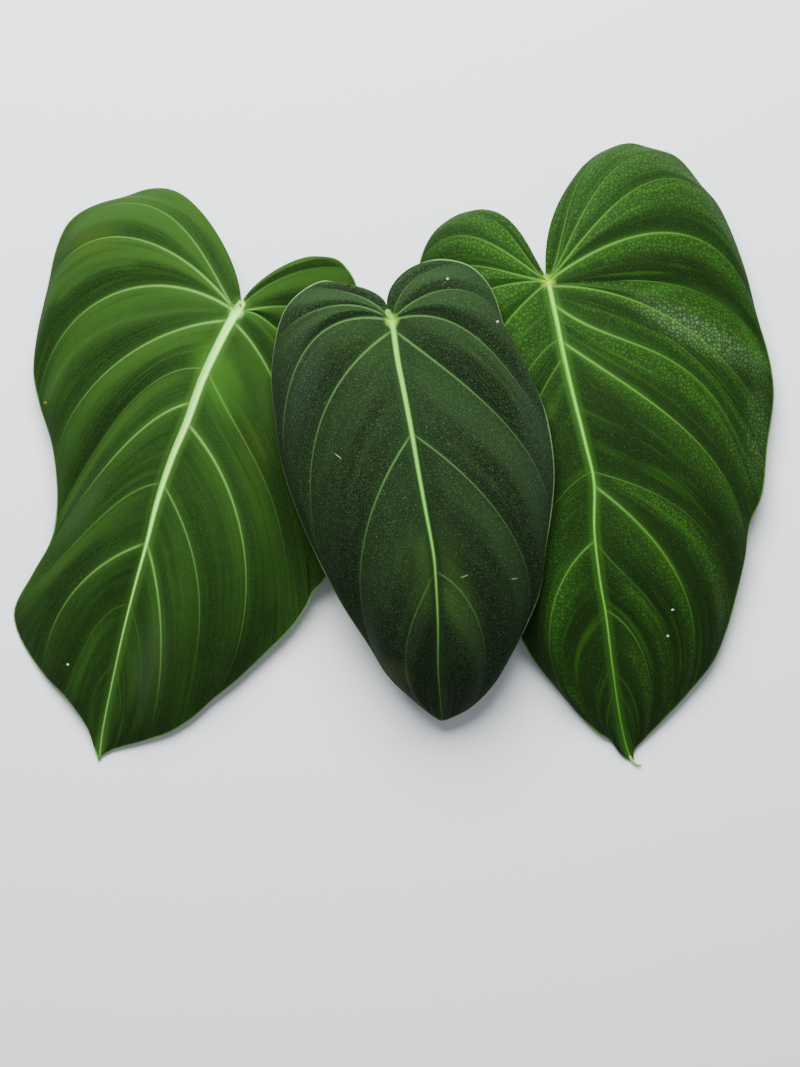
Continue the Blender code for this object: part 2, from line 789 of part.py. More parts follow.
# Roots under the blades, each from inside the stem outwards, in mm.
ROOTS = [
    [(25.5, -66.0, 5.0), (36.0, -69.0, 3.0), (45.0, -64.0, 1.6), (50.5, -55.0, 0.8)],
    [(24.5, -58.0, 4.5), (36.0, -56.0, 2.6), (44.0, -47.0, 1.4), (47.0, -38.0, 0.8)],
    [(22.0, -46.0, 4.5), (33.0, -42.0, 2.4), (39.5, -32.0, 1.3), (46.0, -26.0, 0.8)],
    [(25.5, -66.0, 5.0), (13.0, -67.0, 2.8), (3.0, -62.0, 1.5), (-5.0, -63.0, 0.8)],
    [(24.5, -57.0, 4.5), (11.0, -54.0, 2.6), (1.0, -50.0, 1.4), (-10.0, -52.0, 0.8)],
    [(20.5, -38.0, 4.5), (9.0, -44.0, 2.0), (-1.0, -38.0, 1.3), (-13.0, -36.0, 0.8)],
]

# Petiole routes along the middle of the flat side, from the stem towards the blade, in mm.
PETIOLES = {
    "blade_left": [
        (7.6, -34.0, 1.4),
        (2.8, -25.5, 0.3),
        (0.6, -14.0, 0.0),
        (-0.8, -3.0, 0.0),
        (-4.0, 8.0, 0.0),
        (-11.0, 17.0, 0.0),
        (-22.0, 25.0, 0.8),
        (-40.0, 37.0, 5.4),
        (-56.0, 48.0, 12.0),
    ],
    "blade_middle": [
        (23.0, -46.4, 18.6),
        (21.0, -38.5, 24.4),
        (16.0, -21.0, 28.4),
        (9.0, 3.0, 31.0),
        (3.0, 26.0, 34.0),
        (-1.4, 42.0, 38.4),
    ],
    "blade_right": [
        (28.8, -17.6, 1.4),
        (33.0, -9.5, 0.2),
        (37.5, 2.0, 0.0),
        (43.5, 18.0, 1.6),
        (51.0, 38.0, 7.0),
        (58.0, 56.0, 15.0),
    ],
}

BLADE_COLOURS = {
    "blade_left": (0.045, 0.1, 0.018),
    "blade_middle": (0.022, 0.045, 0.018),
    "blade_right": (0.05, 0.13, 0.02),
}
PETIOLE_COLOUR = (0.2, 0.34, 0.1)
STEM_COLOUR = (0.2, 0.2, 0.08)

for old in list(bpy.data.objects):
    bpy.data.objects.remove(old)

plant = bpy.data.collections.new("velvet_aroid")
guides = bpy.data.collections.new("guides")
bpy.context.scene.collection.children.link(plant)
bpy.context.scene.collection.children.link(guides)

BLADES = (LEFT_BLADE, MIDDLE_BLADE, RIGHT_BLADE)
for blade in BLADES:
    velvet = colour_material(blade.name, BLADE_COLOURS[blade.name], 0.55)
    blade_object(blade, velvet)

petiole_skin = colour_material("petiole", PETIOLE_COLOUR, 0.45)
section = half_round_profile()
routes = {blade.name: petiole_route(PETIOLES[blade.name], blade) for blade in BLADES}
for name, route in routes.items():
    petiole_object(name.replace("blade", "petiole"), route, section, petiole_skin)
stem_object(routes, colour_material("creeping_stem", STEM_COLOUR, 0.6))
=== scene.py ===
"""Finishes a velvet-leaved aroid: three heart-shaped blades on their petioles and a creeping stem.

The plant lies on its back on a pale floor, blades upwards, and the camera looks straight down on it.
"""

import json
import logging
from dataclasses import dataclass, field
from enum import Enum
from math import atan2, cos, exp, pi, radians, sin
from random import Random
from typing import Any, Iterable, Sequence

import bmesh
import bpy
import numpy as np
from mathutils import Matrix, Vector, noise

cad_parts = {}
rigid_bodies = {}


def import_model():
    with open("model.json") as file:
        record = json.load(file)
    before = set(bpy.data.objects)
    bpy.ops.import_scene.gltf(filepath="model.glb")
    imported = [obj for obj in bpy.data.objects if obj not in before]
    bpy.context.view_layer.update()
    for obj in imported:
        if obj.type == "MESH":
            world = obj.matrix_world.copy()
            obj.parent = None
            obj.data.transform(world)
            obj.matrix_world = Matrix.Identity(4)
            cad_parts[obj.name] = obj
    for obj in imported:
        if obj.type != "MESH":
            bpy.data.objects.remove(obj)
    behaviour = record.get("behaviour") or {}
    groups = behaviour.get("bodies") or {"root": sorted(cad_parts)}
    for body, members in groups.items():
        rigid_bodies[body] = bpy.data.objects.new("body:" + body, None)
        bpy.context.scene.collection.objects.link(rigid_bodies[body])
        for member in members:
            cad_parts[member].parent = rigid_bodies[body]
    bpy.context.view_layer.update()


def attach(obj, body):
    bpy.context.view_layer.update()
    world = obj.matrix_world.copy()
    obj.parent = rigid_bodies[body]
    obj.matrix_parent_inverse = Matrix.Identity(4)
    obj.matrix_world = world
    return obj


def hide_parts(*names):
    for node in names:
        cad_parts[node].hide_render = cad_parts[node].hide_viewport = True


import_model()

LOG = logging.getLogger("velvet_aroid")
MM = 0.001
WELD = 0.01 * MM
LEAST_LENGTH = 0.01
FAR = 1e6
TINY = 1e-9
BODY = "root"

# The picture is taken from straight above. Places on the blades are given as it shows them, in mm,
# and how high each place lies draws it in towards the camera's axis.
EYE_HEIGHT = 900.0
SEEN_LEVEL = 30.0
EYE_PLAN = (0.0, -35.0)
PICTURE_HEIGHT = 448.1
SENSOR_MM = 36.0

Point = tuple[float, float, float]
Place = tuple[float, float]
Socket = bpy.types.NodeSocket


class Side(Enum):
    """The two halves of a blade, as seen from above."""

    LEFT = "left"
    RIGHT = "right"


class Source(Enum):
    """What a layer of colour follows."""

    FIELD = "a value kept on the blade's mesh"
    CLOUD = "soft noise"
    NET = "distance to the border between small cells"
    SPOT = "distance from the middle of a small ellipse"
    FLOW = "noise drawn out along the veins"


class Tint(Enum):
    """Tints of soft patches on a blade, each a value kept on its mesh."""

    OLIVE = "olive"
    # Painted sheen: patches of pale, greyish green where a blade shows a sheen.
    PAINTED_SHEEN = "painted_sheen"
    DEEP = "deep"
    FRESH = "fresh"


# Plain geometry


def settle(x: float, y: float, z: float) -> Vector:
    """Draws a place seen from above in towards the eye's axis by its height.

    Args:
        x: Plan place from the left, in mm.
        y: Plan place upwards in the picture, in mm.
        z: Height over the floor, in mm.

    Returns:
        The real place, in mm.
    """
    share = 1.0 - (z - SEEN_LEVEL) / EYE_HEIGHT
    return Vector((EYE_PLAN[0] + (x - EYE_PLAN[0]) * share, EYE_PLAN[1] + (y - EYE_PLAN[1]) * share, z))


def cubic_between(values: Sequence[Any], knots: Sequence[float], at: float) -> Any:
    """Reads a smooth curve through values at rising knots.

    Args:
        values: Numbers or vectors, one a knot.
        knots: Rising places of the values.
        at: Where to read.

    Returns:
        The number or vector there.
    """
    last = len(knots) - 1
    k = 0
    while k < last - 1 and at > knots[k + 1]:
        k += 1
    span = knots[k + 1] - knots[k]
    f = (at - knots[k]) / span
    slope = []
    for j in (k, k + 1):
        low, high = max(j - 1, 0), min(j + 1, last)
        slope.append((values[high] - values[low]) / (knots[high] - knots[low]) * span)
    f2 = f * f
    f3 = f2 * f
    start = values[k] * (2 * f3 - 3 * f2 + 1) + slope[0] * (f3 - 2 * f2 + f)
    end = values[k + 1] * (3 * f2 - 2 * f3) + slope[1] * (f3 - f2)
    return start + end


def running_lengths(points: Sequence[Vector]) -> list[float]:
    """Measures a chain of points.

    Args:
        points: Its places, in order.

    Returns:
        The distance along the chain at each point, from its first one.
    """
    lengths = [0.0]
    for a, b in zip(points, points[1:]):
        lengths.append(lengths[-1] + max((b - a).length, LEAST_LENGTH))
    return lengths


def smooth_route(points: Iterable[Point], steps: int) -> list[Vector]:
    """Draws a smooth curve through a few points.

    Args:
        points: Places in mm.
        steps: How many equal steps the curve is read in.

    Returns:
        The places along the curve, in mm, one more than the steps.
    """
    chain = [Vector(p) for p in points]
    knots = running_lengths(chain)
    return [cubic_between(chain, knots, knots[-1] * i / steps) for i in range(steps + 1)]


def polar(offset: Vector) -> Vector:
    """Gives an offset's length and its turn from straight down."""
    return Vector((offset.length, atan2(offset.x, -offset.y)))


def unpolar(pair: Vector) -> Vector:
    """Gives the offset of a length and a turn."""
    return Vector((pair.x * sin(pair.y), -pair.x * cos(pair.y)))


def ramp(value: Any, low: float, high: float) -> Any:
    """Rises smoothly from 0 to 1 while a value goes from low to high."""
    share = np.clip((value - low) / (high - low), 0.0, 1.0)
    return share * share * (3.0 - 2.0 * share)


def chain_distance(places: np.ndarray, chain: np.ndarray) -> np.ndarray:
    """Measures how far places lie from a chain.

    Args:
        places: Array of places in mm, with two or three numbers each.
        chain: The chain's points, one a row, with as many numbers each.

    Returns:
        The distance of each place in mm.
    """
    best = np.full(places.shape[:-1], FAR)
    for a, b in zip(chain, chain[1:]):
        along = b - a
        squared = max(float(along @ along), TINY)
        share = np.clip(((places - a) @ along) / squared, 0.0, 1.0)
        best = np.minimum(best, np.linalg.norm(places - a - share[..., None] * along, axis=-1))
    return best


# Materials


def linear(colour: str) -> tuple[float, float, float, float]:
    """Turns an sRGB hex value into a linear colour.

    Args:
        colour: The value, such as "#ffffff".

    Returns:
        Its linear red, green and blue, and an alpha of 1.
    """
    channels = [int(colour[i : i + 2], 16) / 255.0 for i in (1, 3, 5)]
    values = [c / 12.92 if c <= 0.04045 else ((c + 0.055) / 1.055) ** 2.4 for c in channels]
    return (values[0], values[1], values[2], 1.0)


def add_node(
    tree: bpy.types.NodeTree,
    kind: str,
    settings: dict | None = None,
    links: dict | None = None,
) -> Any:
    """Adds one node with its settings and incoming links.

    Args:
        tree: The material's node tree.
        kind: The node's type name.
        settings: Input values by number or capitalised name, and plain properties by name.
        links: Output sockets by the number or name of the input that they feed.

    Returns:
        The new node.
    """
    made = tree.nodes.new(kind)
    for key, value in (settings or {}).items():
        if isinstance(key, int) or key[0].isupper():
            made.inputs[key].default_value = value
        else:
            setattr(made, key, value)
    for key, socket in (links or {}).items():
        tree.links.new(socket, made.inputs[key])
    return made


@dataclass(frozen=True)
class Layer:
    """One colour laid over those below it, where its source lies between two values.

    The sizes are in mm. A source below low has none of the colour, and one over high has all of it;
    low above high turns that round. Jitter moves that border by noise of the size jitter_size.
    """

    colour: str
    source: Source
    low: float
    high: float
    strength: float = 1.0
    name: str = ""
    size: float = 1.0
    stretch: Point = (1.0, 1.0, 1.0)
    at: Place = (0.0, 0.0)
    turn: float = 0.0
    within: str = ""
    jitter: float = 0.0
    jitter_size: float = 1.0

    def value(self, tree: bpy.types.NodeTree, place: Socket, seen: Socket) -> Socket:
        """Builds the nodes of the layer's source.

        Args:
            tree: The material's node tree.
            place: Object coordinates in metres.
            seen: Places as seen from above, in mm.

        Returns:
            The socket that holds the source's value.
        """
        scale = 1.0 / (self.size * MM)
        if self.source is Source.FIELD:
            made = add_node(tree, "ShaderNodeAttribute", {"attribute_name": self.name}).outputs["Fac"]
        elif self.source is Source.NET:
            settings = {"feature": "DISTANCE_TO_EDGE", "Scale": scale, "Randomness": 0.9}
            made = add_node(tree, "ShaderNodeTexVoronoi", settings, {"Vector": place}).outputs["Distance"]
        elif self.source is Source.FLOW:
            flow = add_node(tree, "ShaderNodeAttribute", {"attribute_name": "flow_mm"}).outputs["Vector"]
            drawn = add_node(tree, "ShaderNodeMapping", {"Scale": self.stretch}, {"Vector": flow})
            settings = {"Scale": 1.0 / self.size, "Detail": 2.0, "Roughness": 0.5}
            noisy = add_node(tree, "ShaderNodeTexNoise", settings, {"Vector": drawn.outputs[0]})
            made = noisy.outputs["Fac"]
        elif self.source is Source.SPOT:
            settings = {"vector_type": "TEXTURE", "Location": (*self.at, 0.0), "Scale": self.stretch}
            settings["Rotation"] = (0.0, 0.0, radians(self.turn))
            local = add_node(tree, "ShaderNodeMapping", settings, {"Vector": seen})
            far = add_node(tree, "ShaderNodeVectorMath", {"operation": "LENGTH"}, {0: local.outputs[0]})
            made = far.outputs["Value"]
        else:
            settings = {"Scale": scale, "Detail": 3.0, "Roughness": 0.6}
            made = add_node(tree, "ShaderNodeTexNoise", settings, {"Vector": place}).outputs["Fac"]
        if self.jitter:
            settings = {"Scale": 1.0 / (self.jitter_size * MM), "Detail": 2.0}
            rough = add_node(tree, "ShaderNodeTexNoise", settings, {"Vector": place}).outputs["Fac"]
            moved = {"operation": "MULTIPLY_ADD", 1: self.jitter}
            made = add_node(tree, "ShaderNodeMath", moved, {0: rough, 2: made}).outputs[0]
        return made


@dataclass(frozen=True)
class Finish:
    """A grown surface: its base colour, the layers over it, its gloss, velvet sheen and relief."""

    name: str
    base: str
    layers: tuple[Layer, ...] = ()
    roughness: float = 0.5
    specular: float = 0.35
    sheen: float = 0.0
    sheen_roughness: float = 0.4
    sheen_tint: str = "#ffffff"
    ior: float = 1.42
    bump_source: Source = Source.CLOUD
    bump_size: float = 0.5
    bump_depth: float = 0.05
    bump_strength: float = 0.4

    def material(self) -> bpy.types.Material:
        """Builds the material.

        Returns:
            A new material with its nodes.
        """
        material = bpy.data.materials.new(self.name)
        material.use_nodes = True
        tree = material.node_tree
        shader = tree.nodes["Principled BSDF"]
        place = add_node(tree, "ShaderNodeTexCoord").outputs["Object"]
        seen = add_node(tree, "ShaderNodeAttribute", {"attribute_name": "seen_mm"}).outputs["Vector"]
        under = None
        for layer in self.layers:
            made = layer.value(tree, place, seen)
            settings = {"interpolation_type": "SMOOTHSTEP", "From Min": layer.low, "From Max": layer.high}
            settings["To Max"] = layer.strength
            share = add_node(tree, "ShaderNodeMapRange", settings, {"Value": made}).outputs[0]
            if layer.within:
                mask = add_node(tree, "ShaderNodeAttribute", {"attribute_name": layer.within})
                links = {0: share, 1: mask.outputs["Fac"]}
                share = add_node(tree, "ShaderNodeMath", {"operation": "MULTIPLY"}, links).outputs[0]
            settings = {"data_type": "RGBA", 6: linear(self.base), 7: linear(layer.colour)}
            links = {0: share} if under is None else {0: share, 6: under}
            under = add_node(tree, "ShaderNodeMix", settings, links).outputs[2]
        if under is None:
            shader.inputs["Base Color"].default_value = linear(self.base)
        else:
            tree.links.new(under, shader.inputs["Base Color"])
        self.relief(tree, place, shader)
        shader.inputs["Roughness"].default_value = self.roughness
        shader.inputs["Specular IOR Level"].default_value = self.specular
        shader.inputs["IOR"].default_value = self.ior
        shader.inputs["Sheen Weight"].default_value = self.sheen
        shader.inputs["Sheen Roughness"].default_value = self.sheen_roughness
        shader.inputs["Sheen Tint"].default_value = linear(self.sheen_tint)
        return material

    def relief(self, tree: bpy.types.NodeTree, place: Socket, shader: bpy.types.Node) -> None:
        """Adds the surface's fine relief.

        Args:
            tree: The material's node tree.
            place: Object coordinates in metres.
            shader: The node that takes the bumped normal.
        """
        grain = Layer("#000000", self.bump_source, 0.0, 1.0, size=self.bump_size)
        height = grain.value(tree, place, place)
        settings = {"Strength": self.bump_strength, "Distance": self.bump_depth * MM}
        bump = add_node(tree, "ShaderNodeBump", settings, {"Height": height})
        tree.links.new(bump.outputs[0], shader.inputs["Normal"])


@dataclass(frozen=True)
class Velvet:
    """The upper skin of a blade: a dense short pile over a net of fine veins.

    The real pile is the outermost cells, each grown into a dome under 0.1 mm wide. That is too fine
    to show, so its grain is drawn 0.4 to 0.55 mm coarse. The net's cells are 1 to 2 mm wide on a
    real blade, and are drawn at that size.
    """

    name: str
    base: str
    # The shade and light colours are the skin's darker and paler tones; they lay its own mottling, and also
    # the painted shade and painted light of places facing away from or towards the lamp.
    shade: str
    light: str
    net: str
    # The glow colour lays a painted sheen along the veins and the midrib.
    glow: str
    vein: str
    midrib: str
    hub: str
    rim: str
    deep: str
    fresh: str
    olive: str
    # This colour lays the painted sheen patches.
    painted_sheen: str
    speck: str
    speck_strength: float = 0.3
    net_strength: float = 0.15
    net_size: float = 1.35
    net_reach: float = 0.2
    relief_strength: float = 0.25
    fine_strength: float = 0.25
    glow_strength: float = 0.6
    painted_light_strength: float = 0.75
    roughness: float = 0.5
    sheen: float = 0.3
    marks: tuple[Layer, ...] = ()

    def finish(self) -> Finish:
        """Lays the skin's colours from the widest patches to the smallest marks.

        Returns:
            The skin as a finish.
        """
        layers = (
            Layer(self.shade, Source.CLOUD, 0.45, 0.72, 0.5, size=24.0),
            Layer(self.light, Source.CLOUD, 0.5, 0.8, 0.35, size=8.0),
            Layer(self.deep, Source.FIELD, 0.0, 1.0, 0.9, name=Tint.DEEP.value),
            Layer(self.fresh, Source.FIELD, 0.0, 1.0, 0.85, name=Tint.FRESH.value),
            # Painted light and painted shade: the light colour where the blade faces up the picture towards
            # the lamp, the shade colour where it faces away.
            Layer(self.light, Source.FIELD, 0.0, 0.25, self.painted_light_strength, name="painted_facing_light"),
            Layer(self.shade, Source.FIELD, 0.0, -0.25, self.painted_light_strength, name="painted_facing_light"),
            Layer(self.olive, Source.FIELD, 0.0, 1.0, 0.85, name=Tint.OLIVE.value),
            # Painted sheen: patches of pale, greyish green where the blade shows a sheen.
            Layer(self.painted_sheen, Source.FIELD, 0.0, 1.0, 0.85, name=Tint.PAINTED_SHEEN.value),
            Layer(self.net, Source.NET, self.net_reach, 0.03, self.net_strength, size=self.net_size),
            Layer(self.light, Source.FLOW, 0.52, 0.72, 0.45, size=3.0, stretch=(1.0, 0.05, 1.0)),
            Layer(self.shade, Source.FLOW, 0.48, 0.3, 0.45, size=5.0, stretch=(1.0, 0.06, 1.0)),
            Layer(self.shade, Source.CLOUD, 0.5, 0.2, 0.35, size=0.55),
            Layer(self.speck, Source.CLOUD, 0.6, 0.72, self.speck_strength, size=0.4),
            Layer(self.net, Source.FIELD, 0.7, 0.1, self.fine_strength, name="fine_mm", jitter=0.5),
            # Painted sheen: a soft pale halo along the veins.
            Layer(self.glow, Source.FIELD, 0.0, 1.0, self.glow_strength, name="glow"),
            Layer(self.vein, Source.FIELD, 2.1, 0.4, 1.0, name="vein_rel", within="vein_force", jitter=0.6),
            # Painted sheen: a soft pale halo along the midrib.
            Layer(self.glow, Source.FIELD, 3.2, 0.3, 0.5, name="rib_mm"),
            Layer(self.vein, Source.FIELD, 0.75, 0.0, 0.6, name="rib_mm", jitter=0.5, jitter_size=0.5),
            Layer(self.midrib, Source.FIELD, 0.3, -0.35, 1.0, name="rib_mm", jitter=0.5, jitter_size=0.4),
            Layer(self.hub, Source.FIELD, 5.0, 1.5, 0.8, name="hub_mm", jitter=2.0, jitter_size=1.5),
            Layer(self.rim, Source.FIELD, 1.1, 0.3, 0.75, name="edge_mm", jitter=0.3, jitter_size=2.0),
            *self.marks,
        )
        return Finish(
            self.name,
            self.base,
            layers,
            roughness=self.roughness,
            specular=0.1,
            sheen=self.sheen,
            sheen_tint="#dfeedd",
            bump_source=Source.NET,
            bump_size=self.net_size,
            bump_depth=0.1,
            bump_strength=self.relief_strength,
        )


def mark(colour: str, at: Place, size: Place, turn: float = 0.0, strength: float = 1.0) -> Layer:
    """Gives a small spot or scratch as a layer.

    Args:
        colour: Its sRGB colour.
        at: Its middle as seen from above, in mm.
        size: Half its length and width, in mm.
        turn: Its turn, in degrees.
        strength: How much of its colour shows.

    Returns:
        The layer.
    """
    return Layer(colour, Source.SPOT, 1.25, 0.6, strength, stretch=(*size, 1.0), at=at, turn=turn)


# The left leaf, lately full grown. Its domed cells send light back whichever way it falls, so the
# mid green looks matt and soft. The skin over the veins grew flat and holds little green, and they
# stand out pale.
LEFT_SKIN = Velvet(
    name="left_leaf_nap",
    base="#19320b",
    shade="#0c1f04",
    light="#274610",
    net="#28471a",
    glow="#3a6023",
    vein="#649a44",
    midrib="#a4ee70",
    hub="#a8e878",
    rim="#84a866",
    deep="#0a1a04",
    fresh="#356218",
    olive="#2f4007",
    painted_sheen="#283820",
    sheen=0.02,
    speck="#4c6c35",
    speck_strength=0.4,
    roughness=0.8,
    net_strength=0.25,
    net_size=1.2,
    marks=(
        mark("#7a6226", (-149.0, 20.0), (0.8, 0.6)),
        mark("#dfe6da", (-139.5, -90.0), (0.5, 0.5)),
        mark("#7a3a22", (-66.8, 60.6), (0.7, 0.9), 20.0, 0.8),
        mark("#0c1a06", (-38.3, -53.0), (0.7, 8.6), 4.5, 0.7),
    ),
)

# The middle leaf, the oldest. Its skin has thickened and its green has deepened towards blue. The
# light caught on its cells speckles it, and greys the parts that lean away.
MIDDLE_SKIN = Velvet(
    name="middle_leaf_nap",
    base="#0f1f0c",
    shade="#081106",
    light="#1c3016",
    net="#22371c",
    glow="#1e3717",
    vein="#537b40",
    midrib="#78bc44",
    hub="#8cc040",
    rim="#6b8959",
    deep="#060d03",
    fresh="#284216",
    olive="#303205",
    painted_sheen="#19271e",
    net_strength=0.4,
    fine_strength=0.1,
    glow_strength=0.4,
    painted_light_strength=0.9,
    roughness=0.8,
    sheen=0.03,
    speck="#5e8048",
    speck_strength=0.8,
    net_size=1.2,
    net_reach=0.22,
    marks=(
        mark("#c9d2bd", (-26.0, -2.5), (1.9, 0.2), 140.0, 0.4),
        mark("#c9d2bd", (27.0, -53.0), (1.8, 0.18), 20.0, 0.4),
        mark("#c9d2bd", (48.0, -54.0), (1.5, 0.18), 5.0, 0.4),
        mark("#8f9378", (20.0, 72.0), (0.6, 0.5)),
        mark("#9aa088", (41.0, 54.0), (0.6, 0.5)),
        mark("#0b1408", (-21.4, 69.4), (0.8, 1.1)),
    ),
)

# The right leaf, the newest. It opened last and its skin is still thin, so it looks light and fresh,
# and the net of its small veins shows through as fine dark lines.
RIGHT_SKIN = Velvet(
    name="right_leaf_nap",
    base="#183208",
    shade="#0c1e04",
    light="#28500f",
    net="#112408",
    glow="#346120",
    vein="#5a9135",
    midrib="#78c440",
    hub="#90b828",
    rim="#6a9144",
    deep="#0b1802",
    fresh="#2c600f",
    olive="#2e4808",
    painted_sheen="#688e58",
    net_strength=0.8,
    net_size=1.7,
    fine_strength=0.2,
    glow_strength=0.55,
    sheen=0.02,
    speck="#5c9440",
    speck_strength=0.4,
    roughness=0.75,
    net_reach=0.3,
    relief_strength=0.7,
    marks=(
        mark("#cfdcb8", (114.5, -67.0), (0.6, 0.4)),
        mark("#cfdcb8", (112.5, -78.0), (0.5, 0.5)),
    ),
)

# The underside has no domed cells, only a smooth skin over spongy tissue full of air. It looks paler
# and a little glossy, with yellowish ribs.
LEAF_UNDERSIDE = Finish(
    "leaf_underside",
    "#6f8c55",
    (
        Layer("#5d7a45", Source.CLOUD, 0.45, 0.7, 0.6, size=16.0),
        Layer("#93ad74", Source.NET, 0.14, 0.02, 0.4, size=2.2),
        Layer("#a9c088", Source.FIELD, 2.4, 0.6, 0.8, name="vein_rel"),
        Layer("#b5c78e", Source.FIELD, 1.5, 0.0, 0.9, name="rib_mm"),
    ),
    roughness=0.45,
    bump_source=Source.NET,
    bump_size=2.2,
    bump_depth=0.1,
)

# The margin, where the upper and lower skin grew together with no green tissue between them. It
# draws a thin, firm, paler line all round.
LEAF_RIM = Finish("leaf_rim", "#8aa76c", roughness=0.45, bump_size=0.4)

# The leaf stalk, grown fast and full of water under a thin wax. It looks firm and pale, with a soft
# gloss along it and short streaks where darker cells were drawn out.
PETIOLE_SKIN = Finish(
    "petiole_skin",
    "#7c9a55",
    (
        Layer("#5f7d3e", Source.CLOUD, 0.42, 0.7, 0.7, size=9.0),
        Layer("#a8bf84", Source.CLOUD, 0.55, 0.75, 0.6, size=1.1),
        Layer("#3f5a2c", Source.CLOUD, 0.6, 0.72, 0.7, size=0.6),
    ),
    roughness=0.4,
    bump_size=0.8,
    bump_depth=0.12,
)

# The creeping stem, whose skin turns to cork as it ages while some green stays between. It looks
# dull, rough and blotched.
STEM_BARK = Finish(
    "stem_bark",
    "#6b5a3b",
    (
        Layer("#57632f", Source.CLOUD, 0.45, 0.65, 0.75, size=11.0),
        Layer("#8c7852", Source.CLOUD, 0.5, 0.75, 0.7, size=2.4),
        Layer("#3d3020", Source.CLOUD, 0.52, 0.36, 0.7, size=1.2),
    ),
    roughness=0.75,
    specular=0.25,
    bump_size=0.7,
    bump_depth=0.3,
    bump_strength=0.6,
)

# Old leaf sheaths, withered until only their fibres were left. They look straw coloured and dull.
DRY_SHEATH = Finish(
    "dry_sheath",
    "#8a6d45",
    (Layer("#b39a6c", Source.CLOUD, 0.45, 0.7, 0.8, size=3.0),),
    roughness=0.8,
    specular=0.2,
)

# A smooth floor under an even coat of pale paint. It throws soft light back under the blades.
FLOOR = Finish("pale_floor", "#e8ebee", roughness=0.7, specular=0.2, bump_strength=0.0)


# Helpers that turn shapes into finished pieces


def new_object(name: str, mesh: bpy.types.ID) -> bpy.types.Object:
    """Adds an object to the scene.

    Args:
        name: The object's name.
        mesh: Its mesh, curve, light or camera.

    Returns:
        The new object, at the origin.
    """
    made = bpy.data.objects.new(name, mesh)
    bpy.context.scene.collection.objects.link(made)
    return made


def as_mesh(obj: bpy.types.Object, finishes: Sequence[bpy.types.Material]) -> bpy.types.Object:
    """Turns a curve, or a mesh with modifiers, into a plain smooth mesh of the same name.

    Args:
        obj: The object to turn; it is removed.
        finishes: The materials of the new mesh.

    Returns:
        The new object, at the origin.
    """
    bpy.context.view_layer.update()
    evaluated = obj.evaluated_get(bpy.context.evaluated_depsgraph_get())
    mesh = bpy.data.meshes.new_from_object(evaluated)
    name = obj.name
    bpy.data.objects.remove(obj)
    bm = bmesh.new()
    bm.from_mesh(mesh)
    bmesh.ops.remove_doubles(bm, verts=bm.verts[:], dist=WELD)
    bmesh.ops.recalc_face_normals(bm, faces=bm.faces[:])
    for face in bm.faces:
        face.smooth = True
    bm.to_mesh(mesh)
    bm.free()
    mesh.materials.clear()
    for material in finishes:
        mesh.materials.append(material)
    return new_object(name, mesh)


def tube(name: str, route: Sequence[Vector], radii: Sequence[float], sides: int) -> bpy.types.Object:
    """Makes a round tube with closed ends along a route.

    Args:
        name: The object's name.
        route: Places in mm.
        radii: Radius at each place, in mm.
        sides: Number of sides, a multiple of 4.

    Returns:
        A curve object with a bevel.
    """
    curve = bpy.data.curves.new(name, "CURVE")
    curve.dimensions = "3D"
    curve.twist_mode = "Z_UP"
    curve.use_fill_caps = True
    curve.bevel_depth = MM
    curve.bevel_resolution = max(sides // 4 - 1, 0)
    spline = curve.splines.new("POLY")
    spline.points.add(len(route) - 1)
    for point, place, radius in zip(spline.points, route, radii):
        point.co = (*(place * MM), 1.0)
        point.radius = radius
    return new_object(name, curve)


def finished(obj: bpy.types.Object, slot: str, *nodes: str) -> bpy.types.Object:
    """Lets a piece ride on the plant and stand for its nodes.

    Args:
        obj: The finished piece.
        slot: The record's material slot; not used.
        nodes: Nodes of the solid model that it replaces.

    Returns:
        The same piece.
    """
    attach(obj, BODY)
    if nodes:
        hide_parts(*nodes)
    triangles = sum(len(face.vertices) - 2 for face in obj.data.polygons)
    LOG.info("%s: %d triangles", obj.name, triangles)
    return obj


# The blades


@dataclass
class Outline:
    """One half's margin from the sinus to the tip, as (x, y, z) in mm."""

    points: Sequence[Point | Vector]
    search_steps: int = 900

    def __post_init__(self) -> None:
        """Measures the margin."""
        self.points = [Vector(p) for p in self.points]
        self.knots = running_lengths(self.points)

    def at(self, length: float) -> Vector:
        """Gives the place at a length from the sinus."""
        return cubic_between(self.points, self.knots, min(max(length, 0.0), self.knots[-1]))

    def nearest(self, place: Place) -> float:
        """Finds the point of the margin nearest to a place.

        Args:
            place: The place as seen from above, in mm.

        Returns:
            The point's length from the sinus, in mm.
        """
        target = Vector(place)
        lengths = [self.knots[-1] * i / self.search_steps for i in range(self.search_steps + 1)]
        return min(lengths, key=lambda length: (self.at(length).xy - target).length)


@dataclass
class Vein:
    """A side vein: its places at a third, two thirds and on the margin, in mm, and how it shows.

    Force is how pale its line is, and starts and ends are the shares of its length between which
    the line shows.
    """

    third: Place
    two_thirds: Place
    end: Place
    force: float = 0.6
    starts: float = 0.0
    ends: float = 1.0


@dataclass
class Row:
    """A pair of veins and the y on the midrib where they start, in mm."""

    start_y: float
    left: Vein | None = None
    right: Vein | None = None


@dataclass
class Laid:
    """A vein laid on its half: row number, start, offsets from it in polar form, margin length."""

    number: int
    start_y: float
    offsets: list[Vector]
    reach: float
    vein: Vein | None


